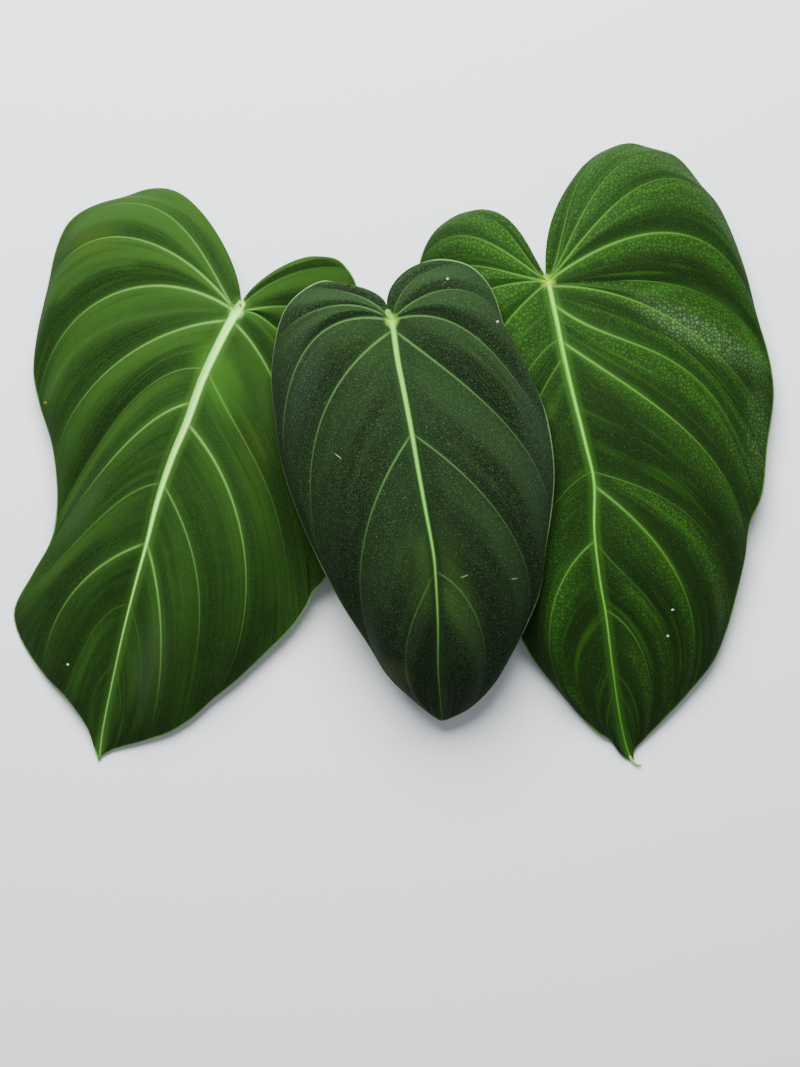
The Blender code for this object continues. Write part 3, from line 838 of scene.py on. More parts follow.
@dataclass
class Strand:
    """One row of the blade's mesh on one half, before its columns are read.

    Its offsets are those of a third, two thirds and the end of the way, between is its share of
    the way from one vein to the next, and spacing is how far apart these are, in mm.
    """

    start: Vector
    end: Vector
    edge: Vector
    offsets: list[Vector]
    between: float
    spacing: float
    short_reach: float = 45.0
    valley_reach: float = 3.0
    valley_depth: float = 1.3
    crown_height: float = 2.4
    droop_power: float = 1.7
    dent_power: float = 2.0
    quilt_share: float = 0.085
    quilt_limit: float = 1.7
    quilt_power: float = 1.25
    quilt_full: float = 0.66
    fade_in: float = 0.15
    fade_out: float = 0.12

    def place(self, t: float) -> tuple[Vector, Vector]:
        """Gives a place on the upper face.

        Args:
            t: Share of the way from the midrib to the margin.

        Returns:
            The plan place as seen from above, and the real place, in mm.
        """
        # The cubic curve from the start through the offsets at a third, two thirds and the end.
        one = 13.5 * t * (2 / 3 - t) * (1 - t)
        two = 13.5 * t * (t - 1 / 3) * (1 - t)
        three = 4.5 * t * (t - 1 / 3) * (t - 2 / 3)
        plan = self.start.xy + self.offsets[0] * one + self.offsets[1] * two + self.offsets[2] * three
        plan += (self.end - self.offsets[2]) * t**self.dent_power
        height = self.start.z + (self.edge.z - self.start.z) * t**self.droop_power
        height += self.relief(t)
        return plan, settle(plan.x, plan.y, height)

    def relief(self, t: float) -> float:
        """Adds up the crown, the valley at the midrib and the swelling between veins.

        Args:
            t: Share of the way from the midrib to the margin.

        Returns:
            The height of all three, in mm.
        """
        length = self.end.length
        ease = min(length / self.short_reach, 1.0)
        valley = self.valley_depth * min(t * length / self.valley_reach, 1.0) * ease * (1 - t)
        crown = self.crown_height * sin(pi * t) * ease
        swell = min(self.spacing * min(t / self.quilt_full, 1.0) * self.quilt_share, self.quilt_limit)
        swell *= max(sin(pi * self.between), 0.0) ** self.quilt_power
        fade = min(t / self.fade_in, 1.0) * min((1 - t) / self.fade_out, 1.0)
        return valley + crown + swell * fade * ease


@dataclass
class Patch:
    """A soft patch of another tint on a blade, as an ellipse in mm."""

    tint: Tint
    at: Place
    size: Place
    turn: float = 0.0
    strength: float = 1.0
    core: float = 0.25
    fringe: float = 1.3

    def share(self, seen: np.ndarray) -> np.ndarray:
        """Works out how much of the tint each place has.

        Args:
            seen: Places as seen from above, in mm.

        Returns:
            The tint's share at each place.
        """
        x, y = seen[..., 0] - self.at[0], seen[..., 1] - self.at[1]
        c, s = cos(radians(self.turn)), sin(radians(self.turn))
        far = np.hypot((x * c + y * s) / self.size[0], (y * c - x * s) / self.size[1])
        return self.strength * (1.0 - ramp(far, self.core, self.fringe))


@dataclass
class Blade:
    """A heart-shaped blade: its midrib, margins, veins, rib widths and patches of tint."""

    FIELDS = ("vein_rel", "vein_force", "glow", "rib_mm", "edge_mm", "hub_mm", "fine_mm", "painted_facing_light", "thick")
    INNER_SHARES = (0.0, 0.006, 0.012, 0.018, 0.025, 0.034, 0.046, 0.062, 0.08)
    EVEN_SHARES = (0.1, 0.94)
    OUTER_SHARES = (0.955, 0.972, 0.985, 0.994, 1.0)

    name: str
    slot: str
    midrib: Sequence[Point | Vector]
    left_margin: list[Point]
    right_margin: list[Point]
    rows: list[Row]
    rib_widths: list[Place]
    skin: Finish
    patches: list[Patch]
    faint: list[list[Place]] = field(default_factory=list)
    lamina: float = 0.62
    keel: float = 4.0
    keel_width: float = 2.3
    vein_ridge: float = 0.75
    vein_ridge_width: float = 0.7
    vein_fade: float = 0.82
    vein_fade_power: float = 1.4
    vein_width: float = 0.12
    start_blur: float = 0.06
    end_blur: Place = (0.3, 0.05)
    end_fade: float = 0.85
    force_width: float = 0.25
    vein_taper: Place = (1.5, 1.15)
    far_vein: float = 99.0
    far_vein_half: float = 0.3
    weak_ridge: float = 0.35
    ridge_fade: Place = (0.5, 9.0)
    keel_narrowing: float = 0.65
    keel_power: float = 0.8
    margin_fade: Place = (0.2, 3.6)
    faint_force: float = 0.5
    faint_steps: int = 24
    rib_rise: float = 0.3
    rib_least_half: float = 0.2
    rib_full_half: float = 1.2
    rib_fade: Place = (1.0, 5.0)
    collar_radius: float = 3.5
    collar_blur: Place = (0.8, 1.9)
    least_step: float = 0.5
    even_steps: int = 44
    fine_spacing: float = 3.4
    spacing_share: float = 0.75
    row_step: float = 20.0
    side_step: float = 500.0
    glow_width: float = 2.6
    band_share: float = 0.1
    band_rib: float = 10.0
    band_margin: float = 6.0
    painted_light_reach: int = 12
    painted_light_share: float = 0.75
    painted_light_lean: float = 0.25
    painted_light_limit: float = 0.8

    def __post_init__(self) -> None:
        """Lays the veins out on both halves."""
        self.midrib = [Vector(p) for p in self.midrib]
        self.falls = [-p.y for p in self.midrib]
        self.margins = {Side.LEFT: Outline(self.left_margin), Side.RIGHT: Outline(self.right_margin)}
        self.laid = {side: self.lay(side) for side in Side}

    def spine(self, y: float) -> Vector:
        """Gives the place on the midrib at a y."""
        return cubic_between(self.midrib, self.falls, -y)

    def lay(self, side: Side) -> list[Laid]:
        """Measures the veins of one half.

        Args:
            side: The half.

        Returns:
            Its veins in order, and the tip last.
        """
        margin = self.margins[side]
        found = []
        for number, row in enumerate(self.rows):
            vein = getattr(row, side.value)
            if vein is None:
                continue
            start = self.spine(row.start_y).xy
            reach = margin.nearest(vein.end)
            places = (Vector(vein.third), Vector(vein.two_thirds), margin.at(reach).xy)
            found.append(Laid(number, row.start_y, [polar(p - start) for p in places], reach, vein))
        last = [Vector((0.0, offset.y)) for offset in found[-1].offsets]
        found.append(Laid(len(self.rows), self.midrib[-1].y, last, margin.knots[-1], None))
        return found

    def start_y(self, at: float) -> float:
        """Finds where a row starts on the midrib.

        Args:
            at: The row's number, whole on a vein.

        Returns:
            Its y, in mm.
        """
        number = min(int(at), len(self.rows) - 1)
        ends = [row.start_y for row in self.rows] + [self.midrib[-1].y]
        return ends[number] + (ends[number + 1] - ends[number]) * (at - number)

    def strand(self, at: float, side: Side) -> Strand:
        """Finds one row of one half.

        Args:
            at: The row's number, whole on a vein.
            side: The half.

        Returns:
            The row, ready to be read.
        """
        start_y = self.start_y(at)
        start = self.spine(start_y)
        veins = self.laid[side]
        k = 0
        while k < len(veins) - 2 and at > veins[k + 1].number:
            k += 1
        before, after = veins[k], veins[k + 1]
        if before.start_y - after.start_y > self.least_step:
            f = (before.start_y - start_y) / (before.start_y - after.start_y)
        else:
            f = (at - before.number) / (after.number - before.number)
        reach = before.reach + (after.reach - before.reach) * f
        knots = [vein.reach for vein in veins]
        polars = ([vein.offsets[i] for vein in veins] for i in range(3))
        offsets = [unpolar(cubic_between(values, knots, reach)) for values in polars]
        edge = self.margins[side].at(reach)
        spacing = (unpolar(after.offsets[1]) - unpolar(before.offsets[1])).length
        return Strand(start, edge.xy - start.xy, edge, offsets, f, spacing)

    def columns(self) -> list[float]:
        """Places the mesh's columns, closer together at the midrib and the margin.

        Returns:
            Their shares of the way from midrib to margin.
        """
        low, high = self.EVEN_SHARES
        even = [low + (high - low) * i / self.even_steps for i in range(self.even_steps + 1)]
        return [*self.INNER_SHARES, *even, *self.OUTER_SHARES]

    def row_numbers(self) -> list[float]:
        """Places the mesh's rows, one on every fine vein and one between each two.

        Returns:
            Their numbers, whole on a vein.
        """
        numbers = []
        for number in range(len(self.rows)):
            gaps = []
            for side in Side:
                a, b = self.strand(number, side), self.strand(number + 1, side)
                gaps.append((a.place(self.spacing_share)[0] - b.place(self.spacing_share)[0]).length)
            count = 2 * max(1, round(max(gaps) / self.fine_spacing))
            numbers += [number + i / count for i in range(count)]
        return numbers + [float(len(self.rows))]

    def halves(self, numbers: list[float]) -> dict[str, np.ndarray]:
        """Reads both halves' rows and joins them at the midrib.

        Args:
            numbers: The mesh's rows.

        Returns:
            Places, flow and vein fields by name, with a row for each row and a column from the left
            margin to the right.
        """
        columns = self.columns()
        sides = {}
        for side in Side:
            strands = [self.strand(at, side) for at in numbers]
            read = [[strand.place(t) for t in columns] for strand in strands]
            seen, real = (np.array([[tuple(pair[i]) for pair in row] for row in read]) for i in (0, 1))
            made = self.vein_fields(side, numbers, np.array(columns), seen)
            along = np.array(columns) * np.linalg.norm(seen[:, -1:] - seen[:, :1], axis=-1)
            shift = self.side_step if side is Side.LEFT else 0.0
            across = np.broadcast_to(np.array(numbers)[:, None] * self.row_step + shift, along.shape)
            sides[side] = made | {"seen": seen, "real": real, "flow": np.stack([across, along], axis=-1)}
        both = {}
        for key, right in sides[Side.RIGHT].items():
            both[key] = np.concatenate([sides[Side.LEFT][key][:, :0:-1], right], axis=1)
        return both

    def fields(self, numbers: list[float]) -> dict[str, np.ndarray]:
        """Works out the mesh's places and the values that its colours follow.

        Args:
            numbers: The mesh's rows.

        Returns:
            Arrays by name, with a row for each row and a column from the left margin to the right.
        """
        both = self.halves(numbers)
        seen, real = both["seen"], both["real"]
        rib = np.array([tuple(self.spine(self.start_y(at)).xy) for at in numbers])
        rib_y, rib_width = np.array(self.rib_widths)[::-1].T
        half = np.interp(seen[..., 1], rib_y, rib_width) / 2
        both["rib_far"] = chain_distance(seen, rib)
        both["rib_mm"] = both["rib_far"] - half
        margin = np.concatenate([real[:, 0], real[::-1, -1]])
        both["edge_mm"] = chain_distance(real, margin)
        # Painted sheen: a soft pale halo along each faint line.
        for chain in self.faint:
            route = smooth_route([(*place, 0.0) for place in chain], self.faint_steps)
            route = np.array([tuple(p.xy) for p in route])
            glow = self.faint_force * np.exp(-chain_distance(seen, route) / self.glow_width)
            both["glow"] = np.maximum(both["glow"], glow)
        both["hub_mm"] = np.linalg.norm(seen - np.array(self.midrib[1].xy), axis=-1)
        rounding = np.clip(1.0 - (both["rib_far"] / np.maximum(half, self.rib_least_half)) ** 2, 0.0, 1.0)
        rise = self.rib_rise * np.sqrt(rounding)
        rise = rise * np.clip(half / self.rib_full_half, 0.0, 1.0) * ramp(both["hub_mm"], *self.rib_fade)
        real[..., 2] += rise
        for tint in Tint:
            shares = [patch.share(seen) for patch in self.patches if patch.tint is tint]
            both[tint.value] = np.clip(sum(shares, np.zeros(seen.shape[:2])), 0.0, 1.0)
        # Painted light and painted shade: lighter where a place faces up the picture towards the lamp and
        # darker where it faces away, with bands lighter just below each vein and darker just above the next,
        # as the quilted relief would be lit.
        wave = np.sin(2.0 * pi * both["between"]) * np.clip(both["rib_mm"] / self.band_rib, 0.0, 1.0)
        fade = np.clip(both["edge_mm"] / self.band_margin, 0.0, 1.0)
        both["painted_facing_light"] = self.painted_facing_light(real) + self.band_share * wave * fade
        both["thick"] = self.thickness(both)
        return both

    def shown(self, vein: Vein, t: np.ndarray) -> np.ndarray:
        """Works out how a vein's line fades along its way.

        Args:
            vein: The vein.
            t: Shares of the way from the midrib to the margin.

        Returns:
            How much of it shows at each share.
        """
        made = np.ones_like(t)
        if vein.starts:
            made = ramp(t, vein.starts - self.start_blur, vein.starts + self.start_blur)
        made = made * (1.0 - self.vein_fade * t) ** self.vein_fade_power
        past = ramp(t, vein.ends - self.end_blur[0], vein.ends + self.end_blur[1])
        return made * (1.0 - self.end_fade * past)

    def vein_fields(
        self,
        side: Side,
        numbers: list[float],
        t: np.ndarray,
        seen: np.ndarray,
    ) -> dict[str, np.ndarray]:
        """Measures how far each place is from its veins, and how pale they are there.

        Args:
            side: The half.
            numbers: The mesh's rows.
            t: The columns' shares.
            seen: Places as seen from above.

        Returns:
            Distance to the nearest vein, its half width and force, its soft glow, the place between
            two veins and the distance to the nearest fine vein.
        """
        shape = seen.shape[:2]
        made = {"vein_mm": np.full(shape, self.far_vein), "vein_half": np.full(shape, self.far_vein_half)}
        made |= {key: np.zeros(shape) for key in ("vein_force", "glow", "between")}
        at = np.array(numbers)
        for before, after in zip(self.laid[side], self.laid[side][1:]):
            inside = (at >= before.number) & (at <= after.number)
            for laid in (before, after):
                if laid.vein is None:
                    continue
                row = int(np.argmin(np.abs(at - laid.number)))
                far = chain_distance(seen[inside], seen[row])
                vein = laid.vein
                force = np.broadcast_to(vein.force * self.shown(vein, t), far.shape)
                half = self.vein_width + self.force_width * vein.force
                half = half * (self.vein_taper[0] - self.vein_taper[1] * t)
                near = far < made["vein_mm"][inside]
                for key, value in (("vein_mm", far), ("vein_force", force), ("vein_half", half)):
                    made[key][inside] = np.where(near, value, made[key][inside])
                # Painted sheen: a soft pale halo along the vein.
                glow = force * np.exp(-far / self.glow_width)
                made["glow"][inside] = np.maximum(made["glow"][inside], glow)
            made["between"][inside] = ((at[inside] - before.number) / (after.number - before.number))[:, None]
        steps = np.linalg.norm(np.diff(seen, axis=0), axis=-1)
        steps = np.concatenate([steps, steps[-1:]])
        counts = np.zeros(len(numbers), int)
        for i in range(1, len(numbers)):
            counts[i] = 0 if float(numbers[i]).is_integer() else counts[i - 1] + 1
        made["fine_mm"] = np.where((counts % 2 == 1)[:, None], steps, 0.0)
        made["vein_rel"] = made["vein_mm"] / made["vein_half"]
        return made

    def painted_facing_light(self, real: np.ndarray) -> np.ndarray:
        """Works out painted light and painted shade, by how far each place faces up the picture towards the
        lamp.

        Args:
            real: Real places on the upper face, in mm.

        Returns:
            How much painted light (above 0) or painted shade (below 0) each place gets, up to its set limit
            both ways.
        """
        normal = np.cross(np.gradient(real, axis=1), np.gradient(real, axis=0))
        normal = normal / np.maximum(np.linalg.norm(normal, axis=-1, keepdims=True), TINY)
        normal *= np.sign(normal[..., 2:3])
        facing = normal[..., 1] + self.painted_light_lean * normal[..., 0]
        return np.clip(facing - self.painted_light_share * self.blurred(facing), -self.painted_light_limit, self.painted_light_limit)

    def blurred(self, values: np.ndarray) -> np.ndarray:
        """Evens values out over painted_light_reach rows and columns on both sides.

        Args:
            values: One value for each place.

        Returns:
            The evened values.
        """
        made, reach = values, self.painted_light_reach
        for axis in (0, 1):
            count = made.shape[axis]
            wide = np.take(made, np.clip(np.arange(-reach, count + reach), 0, count - 1), axis=axis)
            summed = np.cumsum(wide, axis=axis)
            high = np.take(summed, np.arange(2 * reach, summed.shape[axis]), axis=axis)
            low = np.take(summed, np.arange(0, summed.shape[axis] - 2 * reach), axis=axis)
            made = (high - low) / (2 * reach)
        return made

    def thickness(self, both: dict[str, np.ndarray]) -> np.ndarray:
        """Thickens the sheet under the veins, the midrib and the hub.

        Args:
            both: Arrays by name, as fields makes them.

        Returns:
            The sheet's thickness at each place, in mm.
        """
        y = both["seen"][..., 1]
        top, tip = self.midrib[1].y, self.midrib[-1].y
        along = np.clip((top - y) / (top - tip), 0.0, 1.0)
        ridge = np.exp(-((both["vein_mm"] / self.vein_ridge_width) ** 2))
        force = self.weak_ridge + (1.0 - self.weak_ridge) * both["vein_force"]
        ridge *= self.vein_ridge * force * ramp(both["edge_mm"], *self.ridge_fade)
        width = self.keel_width * (1.0 - self.keel_narrowing * along)
        round_keel = np.sqrt(np.clip(1.0 - (both["rib_far"] / width) ** 2, 0.0, 1.0))
        deepest = self.keel - self.lamina
        keel = deepest * (1.0 - along) ** self.keel_power * round_keel
        low, high = (self.collar_radius * share for share in self.collar_blur)
        collar = deepest * (1.0 - ramp(both["hub_mm"], low, high))
        extra = np.maximum(np.maximum(ridge, keel), collar) * ramp(both["edge_mm"], *self.margin_fade)
        return np.clip(self.lamina + extra, 0.0, self.keel)

    def build(self) -> bpy.types.Object:
        """Builds the blade as a closed sheet with its finishes.

        Returns:
            The finished blade.
        """
        both = self.fields(self.row_numbers())
        row_count, column_count = both["thick"].shape
        bm = bmesh.new()
        bmesh.ops.create_grid(bm, x_segments=column_count - 1, y_segments=row_count - 1, size=0.5)
        places = {key: bm.verts.layers.float_vector.new(f"{key}_mm") for key in ("seen", "flow")}
        tints = [tint.value for tint in Tint]
        layers = {key: bm.verts.layers.float.new(key) for key in (*self.FIELDS, *tints)}
        for vert in bm.verts:
            column = round((vert.co.x + 0.5) * (column_count - 1))
            row = round((0.5 - vert.co.y) * (row_count - 1))
            for key, layer in places.items():
                vert[layer] = (*both[key][row, column], 0.0)
            for key, layer in layers.items():
                vert[layer] = float(both[key][row, column])
            vert.co = Vector(both["real"][row, column]) * MM
        bmesh.ops.remove_doubles(bm, verts=bm.verts[:], dist=2 * WELD)
        top = bm.faces[:]
        made = bmesh.ops.extrude_face_region(bm, geom=top, use_keep_orig=True)["geom"]
        for vert in (item for item in made if isinstance(item, bmesh.types.BMVert)):
            vert.co.z = max(vert.co.z - vert[layers["thick"]] * MM, 0.0)
        below = {item for item in made if isinstance(item, bmesh.types.BMFace)}
        above = set(top)
        for face in bm.faces:
            face.smooth = True
            face.material_index = 0 if face in above else 1 if face in below else 2
        bmesh.ops.recalc_face_normals(bm, faces=bm.faces[:])
        mesh = bpy.data.meshes.new(self.name)
        bm.to_mesh(mesh)
        bm.free()
        for finish in (self.skin, LEAF_UNDERSIDE, LEAF_RIM):
            mesh.materials.append(finish.material())
        return finished(new_object(self.name, mesh), self.slot, self.name.replace("velvet", "blade"))


# The blades' midribs, margins and veins as the picture shows them, with their heights, in mm.
LEFT_BLADE = Blade(
    name="velvet_left",
    slot="left_leaf_velvet",
    midrib=[
        (-66.7, 61.3, 30.4), (-68.8, 58.0, 30.0), (-73.9, 49.0, 31.4), (-82.9, 30.2, 32.6),
        (-89.6, 11.7, 32.2), (-95.6, -2.5, 31.0), (-102.0, -21.6, 28.2), (-106.3, -38.6, 24.6),
        (-111.0, -55.6, 20.0), (-115.9, -74.8, 14.2), (-120.6, -96.0, 8.0), (-124.6, -116.0, 2.8),
        (-126.5, -130.6, 0.8),
    ],
    left_margin=[
        (-66.7, 61.3, 30.4), (-68.4, 70.5, 28.0), (-71.5, 80.5, 23.5), (-82.0, 98.5, 13.5),
        (-90.0, 106.5, 8.4), (-98.0, 110.0, 4.8), (-106.5, 109.7, 2.2), (-114.8, 106.9, 0.9),
        (-130.0, 102.3, 0.8), (-139.3, 95.7, 3.0), (-144.5, 84.7, 6.5), (-147.9, 69.3, 10.0),
        (-152.5, 48.7, 11.5), (-154.1, 32.0, 10.5), (-151.5, 18.9, 9.0), (-146.7, 3.9, 10.5),
        (-144.6, -10.0, 13.0), (-144.3, -23.7, 14.5), (-146.7, -37.6, 12.5), (-154.2, -51.4, 6.5),
        (-162.1, -66.8, 1.4), (-160.0, -78.0, 0.8), (-150.4, -93.4, 2.8), (-139.3, -105.6, 5.0),
        (-131.3, -117.3, 3.6), (-127.8, -127.4, 1.4), (-126.5, -130.6, 0.8),
    ],
    right_margin=[
        (-66.7, 61.3, 30.4), (-60.0, 70.0, 28.0), (-49.9, 77.4, 24.4), (-42.0, 80.4, 22.0),
        (-34.0, 81.4, 19.6), (-26.3, 80.2, 17.0), (-21.8, 76.0, 15.4), (-18.5, 70.3, 14.6),
        (-15.0, 55.0, 13.6), (-14.0, 30.0, 13.0), (-17.0, 0.0, 12.6), (-23.0, -30.0, 12.0),
        (-30.7, -53.2, 11.0), (-36.9, -60.4, 10.0), (-38.2, -64.1, 9.6), (-44.6, -73.7, 8.2),
        (-55.2, -84.4, 7.0), (-69.0, -97.3, 6.0), (-78.6, -104.8, 5.4), (-87.1, -112.6, 4.6),
        (-96.7, -118.6, 3.8), (-108.4, -122.5, 2.8), (-120.1, -125.9, 1.5), (-124.6, -128.3, 1.0),
        (-126.5, -130.6, 0.8),
    ],
    rows=[
        Row(
            61.3,
            Vein((-71, 80), (-82, 98.5), (-95, 109.3), 0.15),
            Vein((-59, 71), (-46, 79), (-34, 81.4), 0.1),
        ),
        Row(
            58.0,
            Vein((-83, 82.5), (-104, 102), (-139.5, 95.5), 0.6),
            Vein((-55, 69.5), (-38, 76), (-21, 76), 0.3),
        ),
        Row(
            58.0,
            Vein((-98, 84), (-127, 88.5), (-148, 69), 0.85),
            Vein((-55, 60.2), (-38, 59), (-14.5, 50), 0.8),
        ),
        Row(
            58.0,
            Vein((-105, 69), (-136, 55), (-152, 20), 1),
            Vein((-59.9, 56.9), (-45, 44), (-15.5, 12), 0.8),
        ),
        Row(
            54.5,
            Vein((-105, 45.5), (-131.5, 24), (-145.4, -5), 0.8),
            Vein((-56, 35), (-42, 0), (-30.5, -52), 0.8),
        ),
        Row(
            34.0,
            Vein((-101, 30), (-122, 9), (-145, -31), 0.3),
            Vein((-64.8, 2.9), (-52, -26.9), (-45.5, -74), 0.35),
        ),
        Row(20.0, Vein((-109.5, 7.8), (-131.5, -17), (-150, -45), 0.8, ends=0.75), None),
        Row(11.5, None, Vein((-69.5, -24), (-65, -65), (-77, -103), 0.9)),
        Row(
            -14.0,
            Vein((-121, -24), (-142, -45), (-160.8, -62.5), 0.35),
            Vein((-86, -49), (-85, -82), (-92, -115), 0.5, ends=0.8),
        ),
        Row(
            -39.0,
            Vein((-128, -50.5), (-143.3, -69), (-150.4, -93.4), 0.8),
            Vein((-101, -67), (-101, -96), (-106, -121.5), 0.8),
        ),
        Row(
            -65.0,
            Vein((-126, -72), (-135, -88), (-141, -103.5), 0.15),
            Vein((-109, -85), (-110, -105), (-116, -124.8), 0.1),
        ),
        Row(
            -90.0,
            Vein((-126, -97), (-130, -107), (-132, -117), 0.1),
            Vein((-117.5, -103), (-118, -114), (-121, -126.2), 0.1),
        ),
    ],
    faint=[
        [(-112.8, 78.8), (-124.6, 77.0), (-136.5, 70.6), (-142.8, 64.2)],
        [
            (-74.6, 58.8), (-90.9, 58.8), (-104.6, 56.9), (-116.4, 54.2), (-127.4, 48.8), (-138.3, 39.6),
            (-148.3, 22.3),
        ],
    ],
    rib_widths=[
        (61.3, 3.6), (20.0, 3.2), (-20.0, 2.2), (-40.0, 1.4), (-60.0, 0.9), (-100.0, 0.5), (-131.0, 0.3),
    ],
    skin=LEFT_SKIN.finish(),
    # The patches of the sheen tint are painted sheen.
    patches=[
        Patch(Tint.OLIVE, (-128.0, 88.0), (14.0, 9.0), 30.0, 0.6),
        Patch(Tint.DEEP, (-100.0, 98.0), (20.0, 12.0), 0.0, 0.4),
        Patch(Tint.OLIVE, (-62.0, 2.0), (6.0, 16.0), 20.0, 0.6),
        Patch(Tint.PAINTED_SHEEN, (-134.0, -25.0), (7.0, 24.0), -30.0, 0.6),
        Patch(Tint.PAINTED_SHEEN, (-104.0, -90.0), (9.0, 28.0), -10.0, 0.7),
        Patch(Tint.PAINTED_SHEEN, (-52.0, 12.0), (5.0, 24.0), 22.0, 0.4),
        Patch(Tint.DEEP, (-133.0, -50.0), (8.0, 20.0), -42.0, 0.8),
        Patch(Tint.DEEP, (-110.0, 22.0), (6.0, 24.0), -60.0, 0.6),
        Patch(Tint.DEEP, (-118.0, 66.0), (5.0, 30.0), -75.0, 0.5),
        Patch(Tint.FRESH, (-76.0, 30.0), (11.0, 24.0), 22.0, 0.75),
        Patch(Tint.DEEP, (-141.0, -62.0), (9.0, 16.0), -30.0, 0.7),
    ],
)

MIDDLE_BLADE = Blade(
    name="velvet_middle",
    slot="middle_leaf_velvet",
    midrib=[
        (-5.1, 58.1, 53.4), (-3.5, 54.5, 53.0), (-1.0, 38.0, 55.0), (1.0, 28.0, 56.0), (4.6, 9.3, 56.8),
        (7.7, -8.6, 56.2), (10.8, -25.6, 54.2), (14.0, -43.0, 50.6), (14.9, -53.0, 47.6),
        (15.9, -72.8, 40.0), (16.0, -92.5, 28.6), (17.3, -109.6, 14.5), (17.6, -113.8, 10.6),
    ],
    left_margin=[
        (-5.1, 58.1, 53.4), (-8.0, 64.4, 51.4), (-16.0, 68.4, 48.6), (-27.0, 70.6, 44.6),
        (-33.0, 71.1, 42.6), (-41.0, 67.1, 40.4), (-47.9, 59.9, 39.0), (-51.7, 49.6, 38.4),
        (-54.1, 30.8, 38.2), (-52.2, 10.2, 37.4), (-49.7, -5.9, 36.4), (-44.3, -23.0, 35.0),
        (-37.6, -39.1, 33.0), (-31.3, -52.3, 31.0), (-22.3, -68.4, 27.6), (-13.4, -81.8, 23.6),
        (-5.3, -94.8, 18.8), (5.5, -105.2, 14.4), (15.3, -112.9, 11.0), (17.6, -113.8, 10.6),
    ],
    right_margin=[
        (-5.1, 58.1, 53.4), (-4.5, 67.0, 51.4), (1.0, 74.3, 49.0), (9.0, 78.7, 46.4), (18.0, 80.3, 44.0),
        (28.8, 77.8, 41.8), (35.9, 71.6, 41.0), (40.4, 63.5, 41.2), (42.4, 56.8, 42.0),
        (44.2, 51.2, 42.6), (46.6, 46.2, 42.8), (50.4, 39.3, 42.8), (56.6, 27.7, 43.6),
        (61.5, 14.7, 43.8), (64.2, 0.3, 43.2), (64.9, -12.0, 42.0), (63.7, -26.3, 39.8),
        (61.2, -42.4, 36.6), (58.8, -59.4, 32.4), (53.4, -73.3, 28.2), (46.7, -86.3, 23.6),
        (39.5, -98.4, 18.6), (30.0, -108.0, 13.8), (20.6, -113.0, 11.0), (17.6, -113.8, 10.6),
    ],
    rows=[
        Row(
            58.1,
            Vein((-8, 64.4), (-16, 68.4), (-27, 70.6), 0.2),
            Vein((-4.5, 67), (1, 74.3), (9, 78.7), 0.2),
        ),
        Row(
            54.5,
            Vein((-12.5, 62.4), (-24, 66.6), (-38.5, 68.8), 0.6),
            Vein((1.5, 67), (10, 74), (24, 79.5), 0.3),
        ),
        Row(
            54.5,
            Vein((-22.5, 61.0), (-41, 56), (-52.6, 43), 0.7),
            Vein((11.5, 65.3), (29, 66.5), (43.2, 52.8), 0.55),
        ),
        Row(
            54.5,
            Vein((-35, 47.5), (-48, 19), (-47.2, -15), 0.8),
            Vein((25, 52), (46.5, 32), (63.2, 8), 0.7),
        ),
        Row(
            50.5,
            Vein((-28.0, 24), (-37.6, -11), (-31.6, -51.5), 0.8),
            Vein((27, 27.4), (52, 1.2), (63.2, -30), 0.75),
        ),
        Row(
            7.0,
            Vein((-11, -23.5), (-16.8, -56), (-9.5, -88.5), 0.7),
            Vein((30.5, -14), (50, -41.5), (53.2, -73.5), 0.6),
        ),
        Row(
            -51.0,
            Vein((5, -73), (2.4, -93), (12, -110.5), 0.4),
            Vein((29.5, -65), (35.8, -86.5), (30.5, -107.6), 0.45),
        ),
        Row(
            -80.0,
            Vein((10.8, -91), (10.4, -102), (14.6, -112.4), 0),
            Vein((21, -92), (22.5, -102), (21, -113), 0),
        ),
    ],
    rib_widths=[
        (58.1, 2.4), (10.0, 1.9), (-20.0, 1.5), (-50.0, 1.1), (-80.0, 0.7), (-100.0, 0.4), (-114.0, 0.25),
    ],
    skin=MIDDLE_SKIN.finish(),
    # The patches of the sheen tint are painted sheen.
    patches=[
        Patch(Tint.FRESH, (12.0, -50.0), (17.0, 24.0), 0.0, 0.8),
        Patch(Tint.FRESH, (26.0, -62.0), (9.0, 22.0), 10.0, 0.7),
        Patch(Tint.FRESH, (-14.0, 44.0), (16.0, 16.0), 0.0, 0.5),
        Patch(Tint.OLIVE, (-1.0, -93.0), (9.0, 4.5), -35.0, 1.0),
        Patch(Tint.PAINTED_SHEEN, (57.0, 0.0), (9.0, 46.0), 6.0, 0.7),
        Patch(Tint.PAINTED_SHEEN, (-40.0, 30.0), (11.0, 36.0), -4.0, 0.6),
        Patch(Tint.DEEP, (40.0, -8.0), (9.0, 36.0), 26.0, 0.8),
        Patch(Tint.DEEP, (38.0, 34.0), (8.0, 24.0), 38.0, 0.8),
        Patch(Tint.DEEP, (14.0, -100.0), (26.0, 12.0), 0.0, 0.5),
    ],
)

